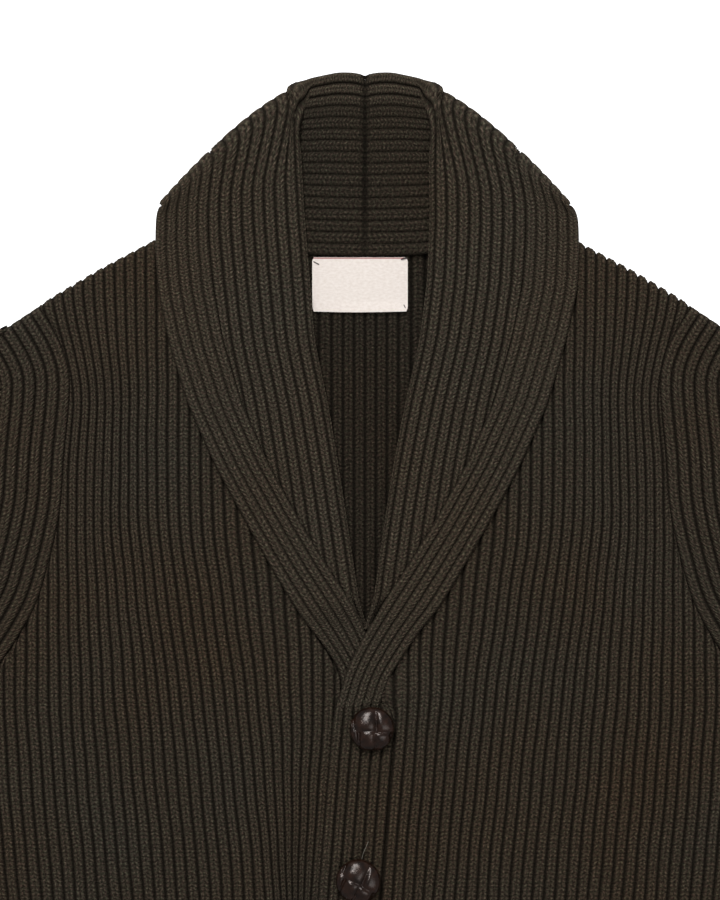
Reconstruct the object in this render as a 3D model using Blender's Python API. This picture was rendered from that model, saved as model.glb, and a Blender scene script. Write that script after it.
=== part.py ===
"""Shawl collar cardigan in heavy rib knit, buttoned and laid flat on its back.

Lengths are in millimetres and become metres when a mesh is made. +X is the viewer's right (the wearer's
left), +Y points to the collar and +Z up from the surface on which the garment lies.
"""

import math

import bmesh
import bpy
import numpy as np

MM = 0.001

# Driving sizes
LENGTH_BELOW = 382.0      # from the origin down to the hem
RIB_PITCH = 6.4
CLOTH = 3.8               # wall at a rib's crest
RELIEF = 1.2              # depth of a valley between two ribs
FRONT_AIR = 0.5           # air between the back and the front
BAND_AIR = 0.4            # air between the two bands
BUTTON_PITCH = 88.0
BUTTON_DIAMETER = 26.0
BUTTON_COUNT = 5

BACK_Z = 0.0
FRONT_Z = BACK_Z + CLOTH + FRONT_AIR
TOP_BAND_Z = FRONT_Z + CLOTH + BAND_AIR
UNDER_BAND_EDGES = (-13.9, 13.3)
TOP_BAND_EDGES = (-17.4, 18.6)
HEM_Y = -LENGTH_BELOW

# Outlines, as (x, y) points on the viewer's right; the left half mirrors them
SHOULDER = [(96, 301.5), (124, 285), (154, 269), (183, 252), (207, 235.5)]
ARMHOLE = [(197, 134), (209, 82), (238, 38), (263, 20.0)]
ARMHOLE_TOP = [(134, 0.0), (207, -6.0), (222, 1.0), (235.5, 10.0)]  # y, shift of the last whole rib
BACK_NECK = [(0, 281), (40, 282.5), (70, 288), (90, 298), (96, 301.5)]
NECK_RIGHT = [(13.8, 30), (15, 60), (17, 76), (28, 97), (39, 118), (51, 145), (65, 178), (76, 208),
              (83, 235), (86, 262), (89, 284), (96, 301.5)]
NECK_LEFT = [(14.4, 30), (22, 45), (29, 55), (30, 62), (31, 76), (36, 97), (42, 118), (52, 145),
             (66, 178), (76, 208), (83, 235), (86, 262), (89, 284), (96, 301.5)]
SIDE_X = 263.0
LAST_WHOLE_RIB = 197.0

# How the laid garment leans: (y, shift towards the middle) of the ribs and of the button bands
RIB_LEAN = [(HEM_Y, 12.0), (-98, 12.0), (20, 0.0), (122, -14.0), (400, -14.0)]
BAND_LEAN = [(HEM_Y, -13.3), (-150, -13.3), (-98, -9.0), (-11, -2.0), (2, 0.0), (400, 0.0)]

# Heights at which the leaning ribs bend
BAND_LEVELS = [HEM_Y, -150, -98, -11, 2, 20]
OUTER_LEVELS = [HEM_Y, -98, 20]

# Sleeve edges on the viewer's right, from the armhole to the cuff
SLEEVE_OUTER = [(207.4, 236.2), (300, 178), (390, 118), (436, 78), (466, 14), (530, -142), (583, -276)]
SLEEVE_INNER = [(269.4, 20.0), (288, -12), (318, -60), (352, -112), (384, -162), (436, -240), (487, -316)]
SLEEVE_ARMHOLE = [(207.4, 236.2), (199.2, 222), (191.2, 207), (196.6, 136), (200.3, 122.4), (209.8, 82.4),
                  (238.9, 39.2), (269.4, 20.0)]
SLEEVE_RIBS = 20

# Collar: rib numbers where the cloth folds
STAND_END, STRIP_START, STRIP_END, FALL_START, LAST_RIB = 13.5, 14.5, 15.5, 16.5, 28
EDGE_STRIP_RIBS = 5
FOLD_RADIUS = 2.25
STAND_BACK_Z, FALL_BACK_Z = 6.3, CLOTH / 2
SIDE_RADIUS_STAND, SIDE_RADIUS_FALL = 2.25, 6.6
SIDE_Z = 8.5

# Rows of the lapels from the neck down: the roll line, the outer edge and the neck seam
LAPEL_COLUMNS = ("roll_y", "roll_left", "roll_right", "edge_y", "edge_left", "edge_right",
                 "neck_y", "neck_left", "neck_right", "stand_z", "edge_z")
LAPEL_ROWS = [
    (325, 36.0, 36.5, 298, 121.2, 123.6, 284, 88, 88, 9.6, 12.6),
    (300, 34.5, 37.0, 278, 121.7, 124.2, 262, 85, 85, 7.6, 11.0),
    (262, 31.5, 35.5, 256, 120.0, 123.3, 235, 82, 82, 6.4, 10.8),
    (226, 28.5, 31.0, 226, 114.0, 116.5, 208, 75, 75, 6.4, 10.8),
    (188, 20.5, 22.3, 190, 103.0, 106.0, 178, 65, 64, 6.4, 10.8),
    (152, 14.5, 15.5, 154, 87.0, 90.0, 145, 51, 50, 6.4, 10.8),
    (120, 9.5, 10.5, 120, 68.5, 71.5, 118, 41, 38, 6.4, 10.8),
    (97, 6.0, 7.2, 94, 54.0, 56.5, 97, 35, 27, 6.4, 10.8),
    (77, 3.0, 4.6, 71.5, 40.5, 43.0, 76, 30, 16, 6.4, 10.8),
]

# Rows of the single strip below the V: free edge, seam edge and their heights
STRIP_COLUMNS = ("free_x", "free_y", "edge_x", "edge_y", "free_z", "edge_z")
STRIP_UNDER = [(0.5, 60, 32, 60, 6.4, 11.2), (-6, 44, 21.5, 46, 6.4, 8.4),
               (-11.5, 32, 13.6, 33, 6.4, 6.4), (-13, 20, 13.9, 20, 6.4, 6.4)]
STRIP_OVER = [(1.2, 58.6, 32, 58.6, 10.8, 10.8), (-6.4, 44.7, 21.5, 43, 10.7, 10.7),
              (-11.6, 32.5, 13.5, 31, 10.7, 10.7), (-16, 18, 8, 18, 10.7, 10.7)]

# Colours, linear
WOOL = (0.026, 0.021, 0.014)
WOOL_COLLAR = (0.031, 0.024, 0.016)
LABEL_CLOTH = (0.86, 0.80, 0.74)
LEATHER = (0.045, 0.018, 0.011)


def clear_scene():
    for item in list(bpy.data.objects):
        bpy.data.objects.remove(item, do_unlink=True)


def material(name, colour, roughness):
    made = bpy.data.materials.new(name)
    made.use_nodes = True
    shader = made.node_tree.nodes["Principled BSDF"]
    shader.inputs["Base Color"].default_value = (*colour, 1.0)
    shader.inputs["Roughness"].default_value = roughness
    shader.inputs["Metallic"].default_value = 0.0
    return made


def add_object(name, mesh, look):
    """Closes a bmesh into a named object with its normals outwards."""
    bmesh.ops.recalc_face_normals(mesh, faces=mesh.faces[:])
    if mesh.calc_volume(signed=True) < 0:
        bmesh.ops.reverse_faces(mesh, faces=mesh.faces[:])
    data = bpy.data.meshes.new(name)
    mesh.to_mesh(data)
    mesh.free()
    data.materials.append(look)
    item = bpy.data.objects.new(name, data)
    bpy.context.scene.collection.objects.link(item)
    return item


def read(table, at):
    """Linear reading of a table of (place, value) rows in either order of place."""
    rows = sorted(table)
    return float(np.interp(at, [row[0] for row in rows], [row[1] for row in rows]))


def smooth(value):
    value = min(max(value, 0.0), 1.0)
    return value * value * (3.0 - 2.0 * value)


def vector(x, y, z=0.0):
    return np.array((x, y, z), float)


def unit(value):
    return value / max(float(np.linalg.norm(value)), 1e-9)


# ---------------------------------------------------------------- flat panels


def panel(name, columns, look, floor_z, turn=1.0):
    """A ribbed panel with a plain flat underside.

    Each column is a list of (x, y, is_crest) points from the hem up; turn = -1 mirrors it in X.
    """
    mesh = bmesh.new()
    built = []
    for column in columns:
        built.append([mesh.verts.new((turn * x * MM, y * MM, (floor_z + CLOTH - (0 if crest else RELIEF)) * MM))
                      for x, y, crest in column])
    for low, high in zip(built, built[1:]):
        zip_columns(mesh, low, high)
    edges = [edge for edge in mesh.edges if len(edge.link_faces) == 1]
    rim = ordered_loop(edges)
    under = [mesh.verts.new((vert.co.x, vert.co.y, floor_z * MM)) for vert in rim]
    for at, vert in enumerate(rim):
        after = (at + 1) % len(rim)
        mesh.faces.new((vert, rim[after], under[after], under[at]))
    mesh.faces.new(under)
    return add_object(name, mesh, look)


def zip_columns(mesh, low, high):
    """Triangles between two columns of points that both run up in Y."""
    i = j = 0
    stop_at = step_height(low, high)
    while i < len(low) - 1 or j < len(high) - 1:
        next_low = low[i + 1].co.y if i < len(low) - 1 else math.inf
        next_high = high[j + 1].co.y if j < len(high) - 1 else math.inf
        if min(next_low, next_high) > stop_at:
            break
        if next_low <= next_high:
            mesh.faces.new((low[i], high[j], low[i + 1]))
            i += 1
        else:
            mesh.faces.new((low[i], high[j], high[j + 1]))
            j += 1


def step_height(low, high):
    """Where a tall column meets a much shorter one, the strip ends at the shorter one's top."""
    tops = sorted((low[-1].co.y, high[-1].co.y))
    return tops[0] + 1e-6 if tops[1] - tops[0] > 60 * MM else math.inf


def ordered_loop(edges):
    links = {}
    for edge in edges:
        for vert in edge.verts:
            links.setdefault(vert, []).append(edge.other_vert(vert))
    start = edges[0].verts[0]
    loop = [start]
    previous, current = None, start
    while True:
        following = [vert for vert in links[current] if vert is not previous][0]
        if following is start:
            return loop
        loop.append(following)
        previous, current = current, following


def body_x(u, y, band_weight):
    """Where the rib that lies at u beside the V has moved to at height y."""
    lean = read(RIB_LEAN, y)
    if y > 20:
        lean *= 1.0 - smooth((u - 100) / 95)
    else:
        side = 23.0 * smooth((22 - y) / 300)
        lean += (side - lean) * smooth((u - 75) / 188)
    free = smooth((u - 14) / 60)
    shift = -lean * free
    shift += band_weight * read(BAND_LEAN, y) * (1.0 - free)
    if y > 134:
        shift += read(ARMHOLE_TOP, y) * smooth((u - 100) / (LAST_WHOLE_RIB - 100))
    return u + shift


def top_of(outline, u, band_weight):
    """Height at which the rib u meets an outline that is given as y for each x."""
    y = read(outline, u)
    for _ in range(12):
        y = 0.5 * (y + read(outline, body_x(u, y, band_weight)))
    return y


def body_columns(start, outline, band_weight, ribbed_to):
    """Columns of a half body from the middle out to the side seam."""
    whole = int((LAST_WHOLE_RIB - start) / (RIB_PITCH / 2))
    edge_rib = start + whole * RIB_PITCH / 2
    places = []
    step = 0
    while start + step * RIB_PITCH / 2 < SIDE_X - 1:
        u = start + step * RIB_PITCH / 2
        if u < ribbed_to or u > edge_rib or step % 6 == 0 or step == whole:
            places.append((u, step % 2 == 1 or u >= ribbed_to))
        step += 1
    places.append((SIDE_X, ribbed_to < SIDE_X))
    columns = []
    for u, crest in places:
        if u < edge_rib - 1:
            top = top_of(outline + SHOULDER[1:], u, band_weight)
        elif u < edge_rib + 1:
            top = SHOULDER[-1][1]
        else:
            top = read(ARMHOLE, u)
        levels = (BAND_LEVELS if u < 75 else OUTER_LEVELS) + ([122] if u < 180 else [122, 207, 222])
        heights = [y for y in levels if y < top - 2] + [top]
        points = []
        for y in heights:
            x = body_x(u, y, band_weight)
            if abs(u - edge_rib) < 1 and y > 134:
                x = LAST_WHOLE_RIB + read(ARMHOLE_TOP, y) - 0.5
            points.append((x, y, crest))
        columns.append(points)
    return columns


def build_panels(look):
    right = body_columns(13.8, NECK_RIGHT, 1.0, SIDE_X)
    panel("front_left", right, look, FRONT_Z)
    left = body_columns(14.4, NECK_LEFT, -1.0, SIDE_X)
    panel("front_right", left, look, FRONT_Z, turn=-1.0)
    half = body_columns(0.0, BACK_NECK, 0.0, 40.0)
    mirrored = [[(-x, y, crest) for x, y, crest in column] for column in half[:0:-1]]
    panel("back", mirrored + half, look, BACK_Z)


# ---------------------------------------------------------------- folded sheets


def sheet_solid(name, points, raised, coarse, fine_cells, present, look, turn=1.0):
    """A wall of even thickness about a grid of points, with ribs on its first face only.

    coarse lists the lines that the plain face keeps, fine_cells tells where the ribbed face keeps them
    all, and present tells which cells the sheet has.
    """
    points = points.copy()
    along = np.gradient(points, axis=0)
    across = np.gradient(points, axis=1)
    normals = np.cross(across, along)
    normals /= np.maximum(np.linalg.norm(normals, axis=2, keepdims=True), 1e-9)
    half = CLOTH / 2
    outer = points + normals * (half - RELIEF * (1.0 - raised))[..., None]
    inner = points - normals * half
    mesh = bmesh.new()
    known = {}

    def vert(face, i, j):
        key = (face, i, j)
        if key not in known:
            x, y, z = (outer if face else inner)[i, j]
            known[key] = mesh.verts.new((turn * x * MM, y * MM, z * MM))
        return known[key]

    def line(i, cell):
        first, last = coarse[cell], coarse[cell + 1]
        fine = (i > 0 and fine_cells(i - 1, cell)) or (i < rows - 1 and fine_cells(i, cell))
        return [vert(1, i, j) for j in (range(first, last + 1) if fine else (first, last))]

    def face(corners):
        distinct = []
        for corner in corners:
            if corner not in distinct:
                distinct.append(corner)
        if len(distinct) > 2:
            mesh.faces.new(distinct)

    rows, cells = points.shape[0], len(coarse) - 1
    for i in range(rows - 1):
        for cell in range(cells):
            if not present(i, cell):
                continue
            low, high = line(i, cell), line(i + 1, cell)
            if len(low) == len(high):
                for k in range(len(low) - 1):
                    face((low[k], low[k + 1], high[k + 1], high[k]))
            else:
                face(low + high[::-1])
            first, last = coarse[cell], coarse[cell + 1]
            a, b = vert(0, i, first), vert(0, i, last)
            c, d = vert(0, i + 1, last), vert(0, i + 1, first)
            face((a, d, c, b))
            if i == 0 or not present(i - 1, cell):
                face([a, b] + low[::-1])
            if i == rows - 2 or not present(i + 1, cell):
                face([d, c] + high[::-1])
            if cell == 0 or not present(i, cell - 1):
                face((low[0], high[0], d, a))
            if cell == cells - 1 or not present(i, cell + 1):
                face((low[-1], high[-1], c, b))
    bmesh.ops.triangulate(mesh, faces=[f for f in mesh.faces if len(f.verts) > 4])
    return add_object(name, mesh, look)


def rounded(rows):
    """The rows with their corners cut twice, the ends kept."""
    rows = np.array(rows, float)
    for _ in range(2):
        low, high = rows[:-1], rows[1:]
        cut = np.stack([0.75 * low + 0.25 * high, 0.25 * low + 0.75 * high], axis=1).reshape(-1, rows.shape[1])
        rows = np.concatenate([rows[:1], cut[1:-1], rows[-1:]])
    return rows


def along_table(rows, count):
    """Points spread evenly along the line through the rows."""
    rows = np.array(rows, float)
    runs = np.concatenate([[0], np.cumsum(np.linalg.norm(np.diff(rows, axis=0), axis=1))])
    spots = np.linspace(0, runs[-1], count)
    return np.stack([np.interp(spots, runs, rows[:, axis]) for axis in range(rows.shape[1])], axis=1)


def build_sleeve():
    """A flattened tube: a lower layer on the surface, a round fold and an upper ribbed layer."""
    stations = 11
    outer = along_table(rounded(SLEEVE_OUTER), stations)
    inner = along_table(rounded(SLEEVE_INNER), stations)
    mouth = along_table(SLEEVE_ARMHOLE, 60)
    mid_z = CLOTH + 0.25
    radius = CLOTH / 2 + 0.25
    ring = sleeve_ring(radius, mid_z)
    grid = np.zeros((stations, len(ring), 3))
    raised = np.ones((stations, len(ring)))
    for i in range(stations):
        across = unit(inner[i] - outer[i])
        span = float(np.linalg.norm(inner[i] - outer[i]))
        for j, (share, bulge, height, crest) in enumerate(ring):
            place = outer[i] + across * ((radius + CLOTH / 2) + (span - 2 * radius - CLOTH) * share + bulge)
            if i == 0:
                reach = min(max(float(np.dot(place - outer[0], across)) / span, 0), 1)
                place = mouth_point(mouth, reach)
            grid[i, j] = (*place, height)
            raised[i, j] = crest
    grid[0, :, :2] += (grid[1, :, :2] - grid[0, :, :2]) * 0.003
    return grid, raised


def sleeve_ring(radius, mid_z):
    """(share across, bulge, height, crest) round the tube from the seam, underneath and back on top."""
    ring = [(share, 0.0, mid_z - radius, 1.0) for share in (0.985, 0.66, 0.33, 0.0)]
    for step in range(1, 4):
        turn = math.pi * step / 4
        ring.append((0.0, -radius * math.sin(turn), mid_z - radius * math.cos(turn), 1.0))
    for step in range(2 * SLEEVE_RIBS + 1):
        ring.append((step / (2 * SLEEVE_RIBS), 0.0, mid_z + radius, float(step % 2)))
    for step in range(1, 4):
        turn = math.pi * step / 4
        ring.append((1.0, radius * math.sin(turn), mid_z + radius * math.cos(turn), 1.0))
    return ring


def mouth_point(mouth, share):
    spots = np.linspace(0, 1, len(mouth))
    return np.array([np.interp(share, spots, mouth[:, 0]), np.interp(share, spots, mouth[:, 1])])


def make_sleeve(name, look, turn):
    grid, raised = build_sleeve()
    lines = grid.shape[1]
    ribbed_from, ribbed_to = 7, 7 + 2 * SLEEVE_RIBS
    coarse = list(range(0, ribbed_from)) + list(range(ribbed_from, ribbed_to, 4))
    coarse += list(range(ribbed_to, lines))
    sheet_solid(name, grid, raised, coarse, lambda i, cell: True, lambda i, cell: True, look, turn)


# ---------------------------------------------------------------- collar


def rib_lines():
    """Rib numbers of the collar's lines: valleys at whole numbers, crests between, more round folds."""
    lines = [0.5 * step for step in range(2 * LAST_RIB + 1)]
    lines += [STAND_END + 0.25, STAND_END + 0.75, STRIP_END + 0.25, STRIP_END + 0.75]
    return sorted(lines)


LINES = rib_lines()
COARSE_RIBS = [0, 3, 6, 9, 12, STAND_END, 14, STRIP_START, STRIP_END, 16, FALL_START, 19, 21, 23, 25, 28]


def silhouette(t):
    """The side fold of the fall, from the collar's top to the shoulder."""
    p = [(-36, 377.5), (-62, 374), (-90, 326), (-119, 306)]
    s = 1 - t
    weights = (s ** 3, 3 * s * s * t, 3 * s * t * t, t ** 3)
    slopes = (-3 * s * s, 3 * s * s - 6 * s * t, 6 * s * t - 3 * t * t, 3 * t * t)
    place = vector(sum(w * q[0] for w, q in zip(weights, p)), sum(w * q[1] for w, q in zip(weights, p)))
    slope = unit(vector(sum(w * q[0] for w, q in zip(slopes, p)), sum(w * q[1] for w, q in zip(slopes, p))))
    return place, vector(slope[1], -slope[0])


def blend(a, b, share):
    return a + (b - a) * share


def fold(start, end, bulge, share):
    turn = math.pi * share
    return blend(start, end, (1 - math.cos(turn)) / 2) + bulge * math.sin(turn)


def row_points(keys, bulges, fall_at, strip_width):
    """A collar row at every rib line from its key points."""
    neck, stand_end, strip_start, strip_end, fall_start = keys
    points = []
    for k in LINES:
        if k <= STAND_END:
            points.append(blend(neck, stand_end, k / STAND_END))
        elif k < STRIP_START:
            points.append(fold(stand_end, strip_start, bulges[0], k - STAND_END))
        elif k <= STRIP_END:
            points.append(blend(strip_start, strip_end, k - STRIP_START))
        elif k < FALL_START:
            points.append(fold(strip_end, fall_start, bulges[1], k - STRIP_END))
        else:
            points.append(fall_at(rib_share(k, strip_width)))
    return np.array(points)


def rib_share(k, width):
    """Share of the fall's width at rib k, the edge strip keeping its own width where the fall narrows."""
    even = (k - FALL_START) / (LAST_RIB - FALL_START)
    if width is None:
        return even
    strip = min(EDGE_STRIP_RIBS * RIB_PITCH / max(width, 1.0), 0.94)
    strip = max(strip, EDGE_STRIP_RIBS / (LAST_RIB - FALL_START))
    mitre = LAST_RIB - EDGE_STRIP_RIBS
    if k <= mitre:
        return (k - FALL_START) / (mitre - FALL_START) * (1 - strip)
    return 1 - strip * (LAST_RIB - k) / EDGE_STRIP_RIBS


def back_row(neck, tip, edge):
    """A row behind the neck: the stand on top and the fall folded under it."""
    way = unit(tip - neck)
    centre = tip - way * (CLOTH / 2 + FOLD_RADIUS)
    high, low = vector(0, 0, STAND_BACK_Z), vector(0, 0, FALL_BACK_Z)
    strip_start = centre - way * RIB_PITCH
    stand_end = strip_start - way * 7.0
    keys = (neck + high, stand_end + high, strip_start + high, centre + high, centre + low)
    return row_points(keys, (vector(0, 0), way * FOLD_RADIUS), lambda f: blend(centre, edge, f) + low, None)


def side_row(angle, inner_start, inner_end, reach):
    """A row on the side fold, angle -90 at the back layer and +90 at the front layer."""
    turn = math.radians(angle)
    out, up = math.cos(turn), math.sin(turn)
    away = vector(-0.76, 0.65)
    stand_z = vector(0, 0, SIDE_Z + SIDE_RADIUS_STAND * up)
    neck = vector(-90, 300) + away * SIDE_RADIUS_STAND * out + stand_z
    stand_end = vector(-47, 350) + away * SIDE_RADIUS_STAND * out + stand_z

    def fall_at(f):
        place, normal = silhouette(0.12 + 0.88 * f)
        inset = SIDE_RADIUS_FALL * (1 - out) + CLOTH / 2
        return place - normal * inset + vector(0, 0, SIDE_Z + SIDE_RADIUS_FALL * up)

    keys = (neck, stand_end, inner_start, inner_end, fall_at(0.0))
    return row_points(keys, (vector(0.86, -0.5) * reach[0], vector(-0.35, 0.94) * reach[1]), fall_at, None)


def lapel_row(values, side):
    row = dict(zip(LAPEL_COLUMNS, values))
    sign = -1.0
    roll = vector(sign * row["roll_" + side], row["roll_y"])
    edge = vector(sign * row["edge_" + side], row["edge_y"])
    neck = vector(sign * row["neck_" + side], row["neck_y"], row["stand_z"])
    way = unit(roll - edge)
    centre = roll - way * (CLOTH / 2 + FOLD_RADIUS)
    low = vector(0, 0, row["stand_z"])
    high = vector(0, 0, row["stand_z"] + 2 * FOLD_RADIUS)
    width = float(np.linalg.norm(edge - centre))
    step = way * min(RIB_PITCH, 0.09 * width)
    keys = (neck, centre + low, centre + high, centre - step + high, centre - 2 * step + high)
    start = keys[4]
    end = edge + vector(0, 0, row["edge_z"])

    def fall_at(f):
        place = blend(start, end, f)
        place[2] = start[2] + (end[2] - start[2]) * smooth((f - 0.5) / 0.5)
        return place

    return row_points(keys, (way * FOLD_RADIUS, vector(0, 0)), fall_at, width)


def strip_row(values):
    row = dict(zip(STRIP_COLUMNS, values))
    free = vector(-row["free_x"], row["free_y"], row["free_z"])
    edge = vector(-row["edge_x"], row["edge_y"], row["edge_z"])

    def at(f):
        place = blend(free, edge, f)
        place[2] = free[2] + (edge[2] - free[2]) * smooth((f - 0.55) / 0.45)
        return place

    first = 14.0
    points = []
    for k in LINES:
        mitre = LAST_RIB - EDGE_STRIP_RIBS
        share = 0.12 * (k - first) / (mitre - first) if k < mitre else 1 - 0.88 * (LAST_RIB - k) / EDGE_STRIP_RIBS
        points.append(at(share))
    return np.array(points)


def collar_rows(side):
    """All rows of one half as drawn for x < 0, and the number of the row where the stand ends."""
    rows = [
        back_row(vector(-0.2, 276), vector(-0.2, 380.6), vector(-0.2, 290)),
        back_row(vector(-32, 277), vector(-15, 382.0), vector(-32, 298)),
        back_row(vector(-62, 281), vector(-29, 379.6), vector(-72, 307)),
        side_row(-90, vector(-36, 363, 6.9), vector(-35, 370, 7.3), (0.5, 3.0)),
        side_row(-45, vector(-36.8, 361.5, 8.7), vector(-37.2, 369.8, 9.4), (1.4, 3.4)),
        side_row(0, vector(-38, 359, 10.6), vector(-39.6, 367.6, 11.4), (2.2, 2.4)),
        side_row(45, vector(-39.2, 356, 12.7), vector(-41.2, 364, 13.6), (2.4, 1.2)),
        side_row(90, vector(-40.2, 351, 14.4), vector(-42.2, 359, 15.0), (2.3, 0.2)),
    ]
    lapel = [lapel_row(values, side) for values in LAPEL_ROWS]
    rows.append(0.5 * (rows[-1] + lapel[0]))
    rows += lapel
    stand_last = len(rows) - 1
    rows += [strip_row(values) for values in (STRIP_UNDER if side == "left" else STRIP_OVER)]
    return np.array(rows), stand_last


def build_collar(name, side, look, turn):
    rows, stand_last = collar_rows(side)
    coarse = [LINES.index(k) for k in COARSE_RIBS]
    raised = np.ones(rows.shape[:2])
    for j, k in enumerate(LINES):
        crest = abs((k % 1.0) - 0.5) < 0.3 or STRIP_END < k < FALL_START
        for i in range(rows.shape[0]):
            hidden = (i <= 3 and k > STRIP_END) or (i >= 7 and k < STAND_END)
            tight = i > stand_last - 3 and STRIP_START < k < LAST_RIB - EDGE_STRIP_RIBS
            if not crest and not hidden and not tight:
                raised[i, j] = 0.0

    def fine_cells(i, cell):
        if i < 3:
            return COARSE_RIBS[cell] < FALL_START
        if i >= 7:
            return COARSE_RIBS[cell] >= STAND_END
        return True

    def present(i, cell):
        return i < stand_last or COARSE_RIBS[cell] >= 14

    sheet_solid(name, rows, raised, coarse, fine_cells, present, look, turn)


# ---------------------------------------------------------------- bands, label, buttons


def band_columns(edges, top_y, narrow_top):
    columns = []
    count = 11
    for step in range(count):
        share = step / (count - 1)
        points = []
        for y in BAND_LEVELS[:-1] + [top_y]:
            x = edges[0] + (edges[1] - edges[0]) * share + read(BAND_LEAN, y)
            if y == top_y:
                x = narrow_top[0] + (narrow_top[1] - narrow_top[0]) * share
            points.append((x, y, step % 2 == 1))
        columns.append(points)
    return columns


def button_place(number):
    y = 1.7 - BUTTON_PITCH * number
    return 4.1 + read(BAND_LEAN, y), y


def build_bands(look):
    under = band_columns(UNDER_BAND_EDGES, 19.6, (-13.7, 13.0))
    panel("band_right", under, look, FRONT_Z)
    over = band_columns(TOP_BAND_EDGES, 17.6, (-16.1, 8.2))
    band = panel("band_left", over, look, TOP_BAND_Z)
    for number in range(BUTTON_COUNT):
        x, y = button_place(number)
        slot_length = 15.0 if number == 0 else 18.0
        mesh = bmesh.new()
        bmesh.ops.create_cube(mesh, size=1.0)
        bmesh.ops.scale(mesh, vec=(3.6 * MM, slot_length * MM, 12 * MM), verts=mesh.verts[:])
        centre = (x * MM, (y - 3.0 + slot_length / 2) * MM, (TOP_BAND_Z + CLOTH / 2) * MM)
        bmesh.ops.translate(mesh, vec=centre, verts=mesh.verts[:])
        cutter = add_object(f"buttonhole_cutter_{number + 1}", mesh, look)
        cutter.hide_render = True
        cutter.display_type = "WIRE"
        cut = band.modifiers.new(f"buttonhole_{number + 1}", "BOOLEAN")
        cut.operation = "DIFFERENCE"
        cut.solver = "EXACT"
        cut.object = cutter


def build_label(look):
    mesh = bmesh.new()
    bmesh.ops.create_cube(mesh, size=1.0)
    bmesh.ops.scale(mesh, vec=(55.6 * MM, 31.6 * MM, 0.8 * MM), verts=mesh.verts[:])
    top = FRONT_Z + 0.1
    bmesh.ops.translate(mesh, vec=(-2.9 * MM, 259.4 * MM, (top + 0.4) * MM), verts=mesh.verts[:])
    upright = [edge for edge in mesh.edges if abs(edge.verts[0].co.z - edge.verts[1].co.z) > 0.5 * MM]
    bmesh.ops.bevel(mesh, geom=upright, offset=2.0 * MM, segments=2, affect="EDGES")
    add_object("label", mesh, look)


def build_buttons(look):
    """Domed leather buttons, each turned from its profile, with a shank down through the buttonhole."""
    seat = TOP_BAND_Z + CLOTH + 0.3
    radius = BUTTON_DIAMETER / 2
    profile = [(0.0, FRONT_Z + CLOTH + 0.3), (1.4, FRONT_Z + CLOTH + 0.3), (1.4, seat), (radius - 3.0, seat),
               (radius, seat + 2.6), (radius - 0.9, seat + 5.2), (radius - 4.0, seat + 7.7),
               (radius - 8.0, seat + 9.0), (0.0, seat + 9.4)]
    for number in range(BUTTON_COUNT):
        mesh = bmesh.new()
        verts = [mesh.verts.new((x * MM, 0.0, z * MM)) for x, z in profile]
        edges = [mesh.edges.new(pair) for pair in zip(verts, verts[1:])]
        bmesh.ops.spin(mesh, geom=verts + edges, cent=(0, 0, 0), axis=(0, 0, 1), angle=2 * math.pi, steps=16)
        bmesh.ops.remove_doubles(mesh, verts=mesh.verts[:], dist=0.01 * MM)
        x, y = button_place(number)
        bmesh.ops.translate(mesh, vec=(x * MM, y * MM, 0), verts=mesh.verts[:])
        add_object(f"button_{number + 1}", mesh, look)


def main():
    clear_scene()
    wool = material("wool_rib", WOOL, 0.95)
    collar_wool = material("wool_collar", WOOL_COLLAR, 0.95)
    build_panels(wool)
    make_sleeve("sleeve_left", wool, 1.0)
    make_sleeve("sleeve_right", wool, -1.0)
    build_collar("collar_right", "left", collar_wool, 1.0)
    build_collar("collar_left", "right", collar_wool, -1.0)
    build_bands(wool)
    build_label(material("label_cloth", LABEL_CLOTH, 0.7))
    build_buttons(material("button_leather", LEATHER, 0.35))


main()
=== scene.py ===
# %% [markdown]
# # A shawl collar cardigan in heavy rib knit, laid flat
#
# This lesson dresses the plain solids of a cardigan with real ribs, stitches, leather buttons and a
# label. Every cloth piece begins the way a knitter begins: as a flat piece counted in ribs and rows. A grid
# operator makes that flat piece, solidify gives it a wall, and then each of its points is laid where the
# garment puts it. Lengths in the tables are millimetres.
#
# A rib is 6.4 mm wide and a stitch 2.5 mm tall. Cloth is 3.8 mm thick from its flat face to the top of a
# rib, and the furrow between two ribs is 2.6 mm deep.

# %% Loading the solids
import math

import bmesh
import bpy
import numpy as np
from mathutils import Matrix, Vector


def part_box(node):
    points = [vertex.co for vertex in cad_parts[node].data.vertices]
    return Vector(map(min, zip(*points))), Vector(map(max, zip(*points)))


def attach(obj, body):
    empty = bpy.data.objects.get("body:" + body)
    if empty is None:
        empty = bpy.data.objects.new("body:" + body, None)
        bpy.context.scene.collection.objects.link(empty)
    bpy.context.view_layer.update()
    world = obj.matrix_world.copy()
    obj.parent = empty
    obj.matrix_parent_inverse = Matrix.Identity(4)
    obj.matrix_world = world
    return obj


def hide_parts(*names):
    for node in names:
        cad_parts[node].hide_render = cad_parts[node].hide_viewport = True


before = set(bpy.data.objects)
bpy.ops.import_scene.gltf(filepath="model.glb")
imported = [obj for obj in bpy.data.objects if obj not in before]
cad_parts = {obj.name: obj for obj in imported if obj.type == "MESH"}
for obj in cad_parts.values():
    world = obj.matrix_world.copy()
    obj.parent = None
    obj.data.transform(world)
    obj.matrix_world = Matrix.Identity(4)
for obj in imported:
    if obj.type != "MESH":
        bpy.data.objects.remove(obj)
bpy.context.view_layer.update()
MM = 0.001
RIB, STITCH = 6.4, 2.5
HALF_WALL, GROOVE = 1.9, 2.6
print("nodes:", sorted(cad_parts))

# %% [markdown]
# ## Reading tables
#
# A garment's outline is easiest to change as a short table of places. These helpers read such a table at
# any place, ease a change in and out, and round the corners of a line the way cloth rounds them.

# %% Small helpers


def read(table, at):
    rows = sorted(table)
    return np.interp(at, [row[0] for row in rows], [row[1] for row in rows])


def smooth(value):
    value = np.clip(value, 0.0, 1.0)
    return value * value * (3.0 - 2.0 * value)


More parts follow.
